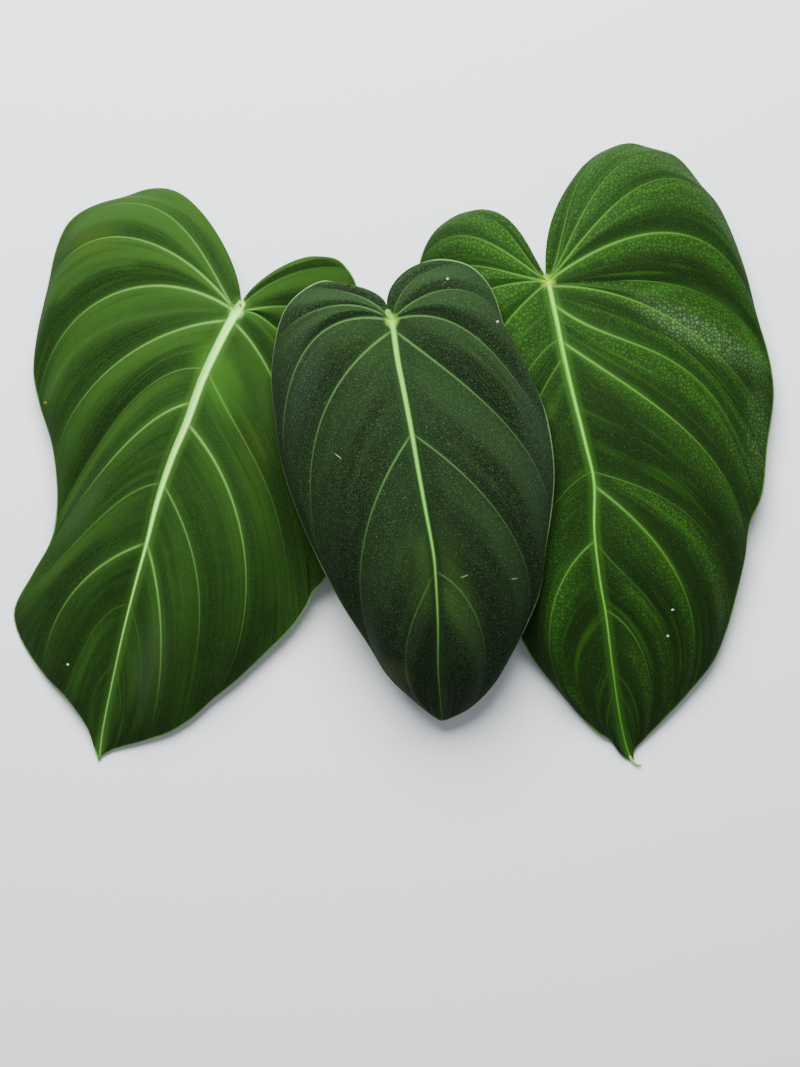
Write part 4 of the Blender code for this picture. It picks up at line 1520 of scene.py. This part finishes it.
RIGHT_BLADE = Blade(
    name="velvet_right",
    slot="right_leaf_velvet",
    midrib=[
        (61.2, 73.1, 32.4), (62.2, 71.0, 32.0), (64.4, 60.9, 33.4), (66.0, 53.4, 34.4),
        (68.1, 42.8, 35.4), (72.3, 24.7, 35.8), (77.7, 3.4, 34.8), (81.4, -13.0, 32.8),
        (81.6, -33.0, 29.8), (83.9, -53.7, 25.6), (86.5, -69.3, 21.0), (89.1, -90.0, 14.0),
        (91.7, -108.6, 7.6), (94.0, -120.0, 3.6), (96.2, -127.6, 1.4), (98.6, -131.6, 0.8),
    ],
    left_margin=[
        (61.2, 73.1, 32.4), (54.7, 84.8, 27.0), (47.0, 95.7, 20.4), (36.0, 101.1, 15.0),
        (30.0, 100.7, 13.4), (22.3, 98.1, 12.8), (13.8, 91.2, 13.0), (8.6, 80.5, 13.6), (7.0, 66.0, 14.4),
        (8.5, 50.0, 15.6), (13.0, 20.0, 18.4), (20.5, -8.0, 21.4), (30.0, -38.0, 21.4),
        (41.0, -62.0, 16.0), (50.8, -79.1, 10.8), (56.5, -88.9, 8.2), (65.8, -100.3, 6.4),
        (75.1, -111.2, 4.8), (83.6, -119.2, 3.4), (88.1, -121.9, 2.4), (93.0, -128.2, 1.3),
        (98.6, -131.6, 0.8),
    ],
    right_margin=[
        (61.2, 73.1, 32.4), (61.1, 83.2, 28.4), (64.4, 96.0, 21.6), (69.7, 110.9, 12.6),
        (80.3, 122.6, 4.6), (90.0, 127.7, 1.2), (97.0, 129.1, 0.8), (104.3, 127.3, 0.9),
        (114.9, 124.1, 2.2), (119.7, 120.2, 3.8), (126.6, 111.4, 7.0), (133.5, 103.4, 9.0),
        (139.9, 90.1, 11.0), (145.7, 73.6, 12.0), (150.0, 56.6, 11.8), (155.3, 38.5, 9.8),
        (157.1, 22.6, 9.0), (154.3, 1.3, 11.0), (152.3, -18.5, 12.4), (147.1, -31.0, 13.0),
        (145.0, -45.5, 12.0), (141.4, -61.0, 10.0), (137.3, -75.5, 8.4), (131.6, -88.9, 7.2),
        (120.0, -103.4, 5.4), (109.8, -114.3, 3.8), (101.0, -123.2, 2.2), (98.2, -127.0, 1.4),
        (98.6, -131.6, 0.8),
    ],
    rows=[
        Row(
            73.1,
            Vein((54.7, 84.8), (47, 95.7), (36, 101.1), 0.1),
            Vein((62, 90), (67, 105), (76.6, 119.4), 0.2),
        ),
        Row(
            71.0,
            Vein((52, 82.5), (40, 96), (22, 98.1), 0.35),
            Vein((68.2, 91), (74.3, 111.5), (88.5, 126.8), 0.35),
        ),
        Row(
            71.0,
            Vein((45, 82.7), (26.5, 90.1), (8.6, 80.5), 0.6),
            Vein((74.5, 95), (91, 118.7), (116.5, 123), 0.45),
        ),
        Row(
            71.0,
            Vein((41.5, 75.7), (24, 77), (7, 66), 0.6),
            Vein((82, 94.8), (107, 113.2), (134.5, 101.8), 0.6),
        ),
        Row(
            71.0,
            Vein((43.6, 69.2), (24, 61), (9, 44), 0.6),
            Vein((94.3, 88.5), (126.5, 88.0), (150.2, 56.5), 0.85),
        ),
        Row(
            70.4,
            Vein((44.2, 52.9), (28, 29), (17, 6), 0.6),
            Vein((93, 71.2), (125, 66.4), (153.8, 41), 0.5, starts=0.35),
        ),
        Row(68.8, None, Vein((96.5, 63.4), (130, 43.5), (155, 8), 0.7)),
        Row(65.6, None, Vein((95, 55.8), (126.5, 36.0), (153, -8), 0.5, starts=0.5)),
        Row(61.5, None, Vein((96, 45.6), (126.5, 28.0), (151.6, -21), 0.8)),
        Row(
            46.0,
            Vein((54.3, 34.3), (38, 5), (27, -29), 0.3),
            Vein((101.5, 23), (130, -2.5), (145.6, -38), 0.8),
        ),
        Row(39.0, Vein((59.6, 24.2), (47, -8), (38.5, -56), 0.4), None),
        Row(
            -9.0,
            Vein((65.8, -21.7), (54, -45), (49, -76), 0.25),
            Vein((109.5, -19.5), (130, -38), (138.5, -70), 0.3),
        ),
        Row(-15.0, None, Vein((106.5, -38), (122, -67.5), (120, -103.4), 0.75)),
        Row(
            -38.0,
            Vein((67.2, -57.2), (62.8, -82.5), (71.8, -108), 0.6),
            Vein((98, -56), (112, -77), (112, -112), 0.25),
        ),
        Row(
            -67.0,
            Vein((77, -77), (73.3, -93), (82.5, -117.8), 0.1),
            Vein((98.5, -78.5), (105, -97), (104, -120.3), 0.4),
        ),
        Row(
            -98.0,
            Vein((88.0, -107), (87.0, -115), (90.0, -124), 0.05),
            Vein((96.4, -107), (99.0, -115.5), (99.6, -125.6), 0.05),
        ),
    ],
    faint=[
        [
            (97.9, 63.1), (106.0, 67.2), (116.0, 69.2), (126.3, 67.2), (135.5, 62.1), (141.6, 57.0),
            (151.8, 36.7),
        ],
    ],
    rib_widths=[
        (73.1, 2.0), (10.0, 1.4), (-20.0, 1.0), (-60.0, 0.8), (-100.0, 0.5), (-132.0, 0.25),
    ],
    skin=RIGHT_SKIN.finish(),
    # The patches of the sheen tint are painted sheen.
    patches=[
        Patch(Tint.DEEP, (98.0, 6.0), (16.0, 30.0), 50.0, 0.7),
        Patch(Tint.DEEP, (118.0, 80.0), (7.0, 26.0), 80.0, 0.6),
        Patch(Tint.FRESH, (92.0, 100.0), (22.0, 20.0), 0.0, 0.4),
        Patch(Tint.FRESH, (40.0, 60.0), (26.0, 40.0), 0.0, 0.8),
        Patch(Tint.FRESH, (64.0, -60.0), (14.0, 40.0), 0.0, 0.5),
        Patch(Tint.PAINTED_SHEEN, (124.0, 50.0), (9.0, 36.0), 62.0, 0.5),
        Patch(Tint.PAINTED_SHEEN, (150.0, 8.0), (7.0, 34.0), 0.0, 0.25),
        Patch(Tint.DEEP, (80.0, -88.0), (8.0, 24.0), 10.0, 0.6),
    ],
)

BLADES = (LEFT_BLADE, MIDDLE_BLADE, RIGHT_BLADE)


# Petioles, stem and drip tip


@dataclass
class Petioles:
    """The half-round leaf stalks, flat side down, in mm."""

    base_width: float = 8.6
    top_width: float = 5.4
    roundness: float = 0.92
    top_reach: float = 1.4
    top_lean: float = 1.0
    top_length: float = 7.0
    top_gap: float = 1.0
    taper_power: float = 0.7
    channel_points: int = 4
    channel_width: float = 0.92
    channel_depth: float = 0.05
    dome_points: int = 30
    dome_power: float = 0.9
    steps: int = 90
    neck_slope: float = 0.75
    neck_overlap: int = 6
    neck_radius: float = 2.7
    neck_inset: float = 0.86
    neck_sink: float = 1.2
    neck_swell: float = 0.16
    neck_sides: int = 24

    def section(self) -> bpy.types.Object:
        """Makes the section, one mm wide: a shallow channel below, a dome above.

        Returns:
            The section as a flat closed curve.
        """
        curve = bpy.data.curves.new("petiole_section", "CURVE")
        curve.dimensions = "2D"
        curve.fill_mode = "NONE"
        spline = curve.splines.new("POLY")
        spline.points.add(self.dome_points + self.channel_points - 1)
        for i, point in enumerate(spline.points):
            if i < self.dome_points:
                angle = pi * i / (self.dome_points - 1)
                x, y = 0.5 * cos(angle), self.roundness * sin(angle) ** self.dome_power
            else:
                share = (i - self.dome_points + 1) / (self.channel_points + 1)
                x = -self.channel_width / 2 + self.channel_width * share
                y = self.channel_depth * sin(pi * share)
            point.co = (x * MM, y * MM, 0.0, 1.0)
        spline.use_cyclic_u = True
        return new_object("petiole_section", curve)

    def route(self, points: list[Point], blade: Blade) -> list[Vector]:
        """Finds the middle of a stalk's flat side, ending upright under its blade.

        Args:
            points: Places from the stem towards the blade.
            blade: The blade that it carries.

        Returns:
            Even places along the stalk, in mm.
        """
        junction = settle(*blade.midrib[1])
        arrive = (junction - Vector(points[-1])).xy.normalized().to_3d()
        under = junction - Vector((0, 0, blade.keel))
        top = under + arrive * self.top_reach - Vector((0, 0, self.top_gap))
        bend = top - arrive * self.top_lean - Vector((0, 0, self.top_length))
        route = smooth_route([*points, bend, top], self.steps)
        for place in route:
            place.z = max(place.z, 0.0)
        return route

    def neck(self, route: list[Vector], start: int) -> tuple[list[Vector], list[float]]:
        """Finds the middle line and radii of the round neck that carries the blade.

        Args:
            route: The middle of the stalk's flat side.
            start: The place on it where the neck starts.

        Returns:
            The neck's places and its radius at each, in mm.
        """
        ahead = (route[-1] - route[start]).xy.normalized().to_3d()
        side = Vector((0.0, 0.0, 1.0)).cross(ahead)
        places, radii = [], []
        count = self.steps - start
        for i in range(start, self.steps + 1):
            along = (route[min(i + 1, self.steps)] - route[min(i, self.steps - 1)]).normalized()
            share = (i - start) / count
            radius = self.neck_radius * (1 - self.neck_swell + self.neck_swell * sin(pi * share))
            places.append(route[i] + along.cross(side) * radius * self.neck_inset)
            radii.append(radius)
        places.append(places[-1] + Vector((0.0, 0.0, self.neck_sink)))
        radii.append(radii[-1])
        return places, radii

    def build(self, blade: Blade, points: list[Point]) -> list[Vector]:
        """Builds one stalk.

        Args:
            blade: The blade that it carries.
            points: Places from the stem towards the blade.

        Returns:
            The finished stalk's route.
        """
        route = self.route(points, blade)
        shares = [(i / self.steps) ** self.taper_power for i in range(self.steps + 1)]
        widths = [self.base_width + (self.top_width - self.base_width) * share for share in shares]
        cut = self.steps
        while (route[cut] - route[cut - 1]).normalized().z > self.neck_slope:
            cut -= 1
        name = blade.name.replace("velvet", "stalk")
        obj = tube(name, route[: cut + 1], widths[: cut + 1], 4)
        section = self.section()
        obj.data.bevel_mode = "OBJECT"
        obj.data.bevel_object = section
        skin = PETIOLE_SKIN.material()
        obj = as_mesh(obj, [skin])
        bpy.data.objects.remove(section)
        above, swell = self.neck(route, cut - self.neck_overlap)
        neck = as_mesh(tube("neck", above, swell, self.neck_sides), [skin])
        bm = bmesh.new()
        bm.from_mesh(obj.data)
        bm.from_mesh(neck.data)
        bm.to_mesh(obj.data)
        bm.free()
        bpy.data.objects.remove(neck)
        finished(obj, "petiole_skin", blade.name.replace("velvet", "petiole"))
        return route


@dataclass
class CreepingStem:
    """The short creeping stem with rings, bud, leaf bases, roots and dry sheath fibres, in mm."""

    axis: list[Point]
    roots: list[list[Point]]
    length: float = 71.0
    radius: float = 7.6
    rings: tuple[float, ...] = (0.1, 0.2, 0.44, 0.68)
    ring_height: float = 0.9
    ring_sharpness: float = 3.2
    scar_height: float = 0.35
    scar_width: float = 0.7
    bud_start: float = 0.76
    bud_power: float = 1.6
    bud_narrowing: float = 0.86
    boss_lift: float = 0.46
    boss_root: float = 6.2
    boss_tip: float = 4.2
    boss_length: float = 17.0
    join_gap: float = 0.35
    steps: int = 90
    sides: int = 32
    root_steps: int = 40
    root_radius: float = 1.7
    root_tip_radius: float = 0.5
    root_jitter: float = 0.08
    root_rest: float = 0.9
    root_sides: int = 12
    sway: Point = (0.25, 0.25, 0.1)
    sway_steps: int = 12
    side_roots: int = 6
    side_root_start: int = 10
    side_root_gap: int = 5
    side_root_reach: Place = (2.5, 5.5)
    side_root_lean: float = 0.6
    side_root_sink: float = 0.7
    side_root_sides: int = 8
    side_root_radii: tuple[float, ...] = (0.45, 0.32, 0.24, 0.18, 0.12)
    skin_size: float = 0.42
    lumps: tuple[Place, ...] = ((0.55, 0.35), (1.7, 0.14))
    thick_from: Place = (2.5, 5.0)
    root_roughness: float = 0.25
    ring_fibres: int = 16
    fibre_radii: tuple[float, ...] = (0.34, 0.32, 0.3, 0.27, 0.24, 0.2, 0.16, 0.12, 0.08)
    fibre_spread: float = 0.03
    fibre_arc: Place = (-0.15, 1.15)
    fibre_lengths: Place = (0.08, 0.2)
    fibre_curl: float = 0.25
    fibre_gap: float = 0.15
    fibre_lift: float = 1.3
    fibre_rest: float = 0.4
    axis_steps: int = 200
    seed: int = 7

    def radius_at(self, share: float) -> float:
        """Swells the stem at its rings and narrows it along its bud.

        Args:
            share: Share of the stem's length from its cut end.

        Returns:
            Its radius there, in mm.
        """
        radius = self.radius
        for ring in self.rings:
            distance = abs(share - ring) * self.length
            radius += self.ring_height / (1 + (distance / self.ring_sharpness) ** 2)
            radius += self.scar_height * exp(-((distance / self.scar_width) ** 2))
        if share > self.bud_start:
            along_bud = (share - self.bud_start) / (1 - self.bud_start)
            radius *= 1 - along_bud**self.bud_power * self.bud_narrowing
        return radius

    def boss(self, route: list[Vector]) -> bpy.types.Object:
        """Makes a leaf's base on the stem, with a flat end that meets its stalk.

        Args:
            route: The stalk's route, in mm.

        Returns:
            The base as a short cone.
        """
        along = (route[1] - route[0]).normalized()
        rise = (Vector((0, 0, 1)) - along * along.z).normalized()
        middle = route[0] + rise * PETIOLES.base_width * PETIOLES.roundness * self.boss_lift
        end = middle - along * self.join_gap
        start = end - along * self.boss_length
        bm = bmesh.new()
        bmesh.ops.create_cone(
            bm,
            cap_ends=True,
            segments=self.sides,
            radius1=self.boss_root * MM,
            radius2=self.boss_tip * MM,
            depth=self.boss_length * MM,
        )
        turn = along.to_track_quat("Z", "Y").to_matrix().to_4x4()
        turn.translation = (start + end) / 2 * MM
        bmesh.ops.transform(bm, matrix=turn, verts=bm.verts[:])
        mesh = bpy.data.meshes.new("boss")
        bm.to_mesh(mesh)
        bm.free()
        return new_object("boss", mesh)

    def root_pieces(self, draw: Random) -> list[bpy.types.Object]:
        """Makes the roots and their short side roots.

        Args:
            draw: Seeded random numbers.

        Returns:
            One tube for each root and side root.
        """
        made = []
        steps = self.root_steps
        for number, points in enumerate(self.roots):
            bent = []
            for i, place in enumerate(smooth_route(points, steps)):
                sway = Vector([draw.uniform(-reach, reach) for reach in self.sway])
                bent.append(place + sway * min(i / self.sway_steps, 1.0))
            radii = []
            for i in range(steps + 1):
                taper = (self.root_radius - self.root_tip_radius) * (i / steps)
                radii.append(self.root_radius - taper + draw.uniform(-self.root_jitter, self.root_jitter))
            for place, radius in zip(bent, radii):
                place.z = max(place.z, radius * self.root_rest)
            made.append(as_mesh(tube(f"root_{number}", bent, radii, self.root_sides), []))
            for k in range(self.side_roots):
                made.append(self.side_root(bent, self.side_root_start + k * self.side_root_gap, draw))
        return made

    def side_root(self, root: list[Vector], at: int, draw: Random) -> bpy.types.Object:
        """Makes one short side root, which sinks as it leaves its root.

        Args:
            root: The root's places, in mm.
            at: The number of the place where it starts.
            draw: Seeded random numbers.

        Returns:
            The side root as a thin tube.
        """
        start = root[at]
        along = root[at + 1] - start
        side = along.cross(Vector((0, 0, 1))).normalized() * draw.choice((-1, 1))
        reach = draw.uniform(*self.side_root_reach)
        forward = along.normalized() * reach * self.side_root_lean
        low = Vector((0, 0, -start.z * self.side_root_sink))
        chain = [start, start + side * reach * 0.5 + forward * 0.3 + low * 0.5]
        chain.append(start + side * reach + forward + low)
        route = smooth_route(chain, len(self.side_root_radii) - 1)
        return as_mesh(tube("side_root", route, self.side_root_radii, self.side_root_sides), [])

    def build(self, routes: list[list[Vector]]) -> bpy.types.Object:
        """Builds the stem as one grown body.

        Args:
            routes: The leaf stalks' routes.

        Returns:
            The finished stem.
        """
        shares = [i / self.steps for i in range(self.steps + 1)]
        route = smooth_route(self.axis, self.steps)
        body = as_mesh(tube("stem_bark", route, [self.radius_at(share) for share in shares], self.sides), [])
        extras = bpy.data.collections.new("stem_extras")
        bpy.context.scene.collection.children.link(extras)
        for obj in [self.boss(path) for path in routes] + self.root_pieces(Random(self.seed)):
            bpy.context.scene.collection.objects.unlink(obj)
            extras.objects.link(obj)
        union = body.modifiers.new("Grown together", "BOOLEAN")
        union.operation = "UNION"
        union.operand_type = "COLLECTION"
        union.collection = extras
        union.solver = "MANIFOLD"
        skin = body.modifiers.new("One skin", "REMESH")
        skin.mode = "VOXEL"
        skin.voxel_size = self.skin_size * MM
        body = as_mesh(body, [STEM_BARK.material()])
        for obj in list(extras.objects):
            bpy.data.objects.remove(obj)
        bpy.data.collections.remove(extras)
        self.roughen(body.data)
        return finished(body, "stem_bark", "creeping_stem")

    def roughen(self, mesh: bpy.types.Mesh) -> None:
        """Rounds the voxels' steps off and gives the bark its lumps, less on the thin roots.

        Args:
            mesh: The stem's mesh.
        """
        bm = bmesh.new()
        bm.from_mesh(mesh)
        axes = {"use_axis_x": True, "use_axis_y": True, "use_axis_z": True}
        for _ in range(3):
            bmesh.ops.smooth_vert(bm, verts=bm.verts[:], factor=0.5, **axes)
        bm.normal_update()
        for vert in bm.verts:
            place = vert.co / MM
            thick = float(ramp(place.z, *self.thick_from))
            rough = sum(noise.noise(place * scale) * height for scale, height in self.lumps)
            share = self.root_roughness + (1 - self.root_roughness) * thick
            vert.co += vert.normal * rough * share * MM
            vert.co.z = max(vert.co.z, 0.0)
        bm.to_mesh(mesh)
        bm.free()

    def fibre(self, axis: list[Vector], ring: float, draw: Random) -> bpy.types.Object:
        """Makes one dry fibre, which lies along the stem from a ring and lifts at its end.

        Args:
            axis: The stem's axis, in mm.
            ring: The ring's share of the stem's length.
            draw: Seeded random numbers.

        Returns:
            The fibre as a thin tube.
        """
        share = ring + draw.uniform(-self.fibre_spread, self.fibre_spread)
        angle = draw.uniform(*(turn * pi for turn in self.fibre_arc))
        long = draw.uniform(*self.fibre_lengths)
        last = len(self.fibre_radii) - 1
        route = []
        for i in range(last + 1):
            at = min(share + long * i / last, 1.0)
            k = round(at * self.axis_steps)
            ahead = (axis[min(k + 1, self.axis_steps)] - axis[max(k - 1, 0)]).normalized()
            side = ahead.cross(Vector((0, 0, 1))).normalized()
            up = side.cross(ahead)
            turn = angle + self.fibre_curl * sin(i * 0.7 + long * 40)
            lift = self.fibre_lift * (i / last) ** 2 * draw.uniform(0.7, 1.0)
            lift = self.radius_at(at) + self.fibre_gap + lift
            place = axis[k] + (side * cos(turn) + up * sin(turn)) * lift
            place.z = max(place.z, self.fibre_rest)
            route.append(place)
        return as_mesh(tube("fibre", route, self.fibre_radii, 4), [])

    def fibres(self) -> bpy.types.Object:
        """Builds the dry fibres left of old sheaths round the stem's rings.

        Returns:
            The finished fibres, as one piece.
        """
        draw = Random(self.seed + 1)
        axis = smooth_route(self.axis, self.axis_steps)
        bm = bmesh.new()
        for ring in self.rings[:3]:
            for _ in range(self.ring_fibres):
                part = self.fibre(axis, ring, draw)
                bm.from_mesh(part.data)
                bpy.data.objects.remove(part)
        mesh = bpy.data.meshes.new("sheath_fibres")
        bm.to_mesh(mesh)
        bm.free()
        mesh.materials.append(DRY_SHEATH.material())
        return finished(new_object("sheath_fibres", mesh), "stem_bark")


@dataclass
class DripTip:
    """The short hooked tip of the right blade, where water runs off it, in mm."""

    points: list[Point]
    radius: float = 0.75
    narrowing: float = 0.35
    steps: int = 16
    sides: int = 16

    def build(self) -> bpy.types.Object:
        """Builds the tip.

        Returns:
            The finished tip.
        """
        route = smooth_route([settle(*place) for place in self.points], self.steps)
        radii = [self.radius - self.narrowing * (i / self.steps) for i in range(self.steps + 1)]
        hook = as_mesh(tube("drip_tip", route, radii, self.sides), [LEAF_RIM.material()])
        return finished(hook, "right_leaf_velvet")


PETIOLES = Petioles()

# The creeping stem's axis from its cut end to its bud, in mm.
STEM_AXIS = [
    (27.0, -73.0, 7.8), (25.6, -60.0, 8.0), (22.5, -44.0, 8.0), (18.5, -28.0, 7.8), (15.0, -14.0, 6.6),
    (13.2, -4.0, 6.0),
]

# Roots under the blades, each from inside the stem outwards, in mm.
ROOTS = [
    [(25.5, -66.0, 5.0), (36.0, -69.0, 3.0), (45.0, -64.0, 1.6), (50.5, -55.0, 0.8)],
    [(24.5, -58.0, 4.5), (36.0, -56.0, 2.6), (44.0, -47.0, 1.4), (47.0, -38.0, 0.8)],
    [(22.0, -46.0, 4.5), (33.0, -42.0, 2.4), (39.5, -32.0, 1.3), (46.0, -26.0, 0.8)],
    [(25.5, -66.0, 5.0), (13.0, -67.0, 2.8), (3.0, -62.0, 1.5), (-5.0, -63.0, 0.8)],
    [(24.5, -57.0, 4.5), (11.0, -54.0, 2.6), (1.0, -50.0, 1.4), (-10.0, -52.0, 0.8)],
    [(20.5, -38.0, 4.5), (9.0, -44.0, 2.0), (-1.0, -38.0, 1.3), (-13.0, -36.0, 0.8)],
]

# Petiole routes along the middle of the flat side, from the stem towards the blade, in mm.
PETIOLE_POINTS = {
    "velvet_left": [
        (7.6, -34.0, 1.4), (2.8, -25.5, 0.3), (0.6, -14.0, 0.0), (-0.8, -3.0, 0.0), (-4.0, 8.0, 0.0),
        (-11.0, 17.0, 0.0), (-22.0, 25.0, 0.8), (-40.0, 37.0, 5.4), (-56.0, 48.0, 12.0),
    ],
    "velvet_middle": [
        (23.0, -46.4, 18.6), (21.0, -38.5, 24.4), (16.0, -21.0, 28.4), (9.0, 3.0, 31.0),
        (3.0, 26.0, 34.0), (-1.4, 42.0, 38.4),
    ],
    "velvet_right": [
        (28.8, -17.6, 1.4), (33.0, -9.5, 0.2), (37.5, 2.0, 0.0), (43.5, 18.0, 1.6), (51.0, 38.0, 7.0),
        (58.0, 56.0, 15.0),
    ],
}

# The right blade's tip, from its margin outwards, as seen from above, in mm.
TIP_POINTS = [(96.4, -128.4, 0.95), (97.9, -130.9, 0.85), (99.4, -132.0, 0.8), (101.3, -132.2, 0.8)]


# Floor, light and camera


@dataclass(frozen=True)
class Lamp:
    """One soft round light: its places and width in metres, its power in watts, its sRGB colour."""

    name: str
    place: Point
    target: Point
    size: float
    power: float
    colour: str

    def hang(self) -> None:
        """Hangs the light and turns it to its target."""
        light = bpy.data.lights.new(self.name, "AREA")
        light.shape = "DISK"
        light.size = self.size
        light.energy = self.power
        light.color = linear(self.colour)[:3]
        obj = new_object(self.name, light)
        aim = Vector(self.target) - Vector(self.place)
        obj.matrix_world = Matrix.Translation(self.place) @ aim.to_track_quat("-Z", "Y").to_matrix().to_4x4()


@dataclass
class Studio:
    """A pale floor, soft light from the top of the picture and a camera straight above, in metres."""

    floor_size: float = 16.0
    floor_drop: float = 0.0004
    lamps: tuple[Lamp, ...] = (
        Lamp("window", (-0.12, 0.7, 0.8), (0.0, 0.0, 0.0), 0.9, 42.0, "#ffffff"),
        Lamp("room", (0.6, -0.5, 1.2), (0.0, -0.05, 0.0), 1.2, 2.5, "#eef2ff"),
    )
    air_colour: str = "#e6ebf0"
    air_strength: float = 0.28
    nearest: float = 0.02

    def floor(self) -> None:
        """Lays the floor, a hair under the plant."""
        bm = bmesh.new()
        bmesh.ops.create_grid(bm, x_segments=1, y_segments=1, size=self.floor_size / 2)
        bmesh.ops.translate(bm, vec=(0.0, 0.0, -self.floor_drop), verts=bm.verts[:])
        mesh = bpy.data.meshes.new("floor")
        bm.to_mesh(mesh)
        bm.free()
        floor = new_object("floor", mesh)
        mesh.materials.append(FLOOR.material())

    def air(self) -> None:
        """Fills the air with an even pale light."""
        world = bpy.data.worlds.new("soft_room")
        world.use_nodes = True
        back = world.node_tree.nodes["Background"]
        back.inputs["Color"].default_value = linear(self.air_colour)
        back.inputs["Strength"].default_value = self.air_strength
        bpy.context.scene.world = world

    def camera(self) -> None:
        """Sets the camera straight above the blades."""
        lens = bpy.data.cameras.new("camera")
        lens.sensor_width = SENSOR_MM
        lens.lens = SENSOR_MM * EYE_HEIGHT / PICTURE_HEIGHT
        lens.clip_start = self.nearest
        eye = new_object("camera", lens)
        eye.location = (EYE_PLAN[0] * MM, EYE_PLAN[1] * MM, (SEEN_LEVEL + EYE_HEIGHT) * MM)
        bpy.context.scene.camera = eye

    def build(self) -> None:
        """Sets up the whole studio."""
        self.floor()
        for lamp in self.lamps:
            lamp.hang()
        self.air()
        self.camera()


def main() -> None:
    """Builds every piece in order and reports it."""
    logging.basicConfig(level=logging.INFO, format="%(message)s")
    Studio().build()
    routes = []
    for blade in BLADES:
        blade.build()
        routes.append(PETIOLES.build(blade, PETIOLE_POINTS[blade.name]))
    stem = CreepingStem(STEM_AXIS, ROOTS)
    stem.build(routes)
    stem.fibres()
    DripTip(TIP_POINTS).build()


if __name__ == "__main__":
    main()
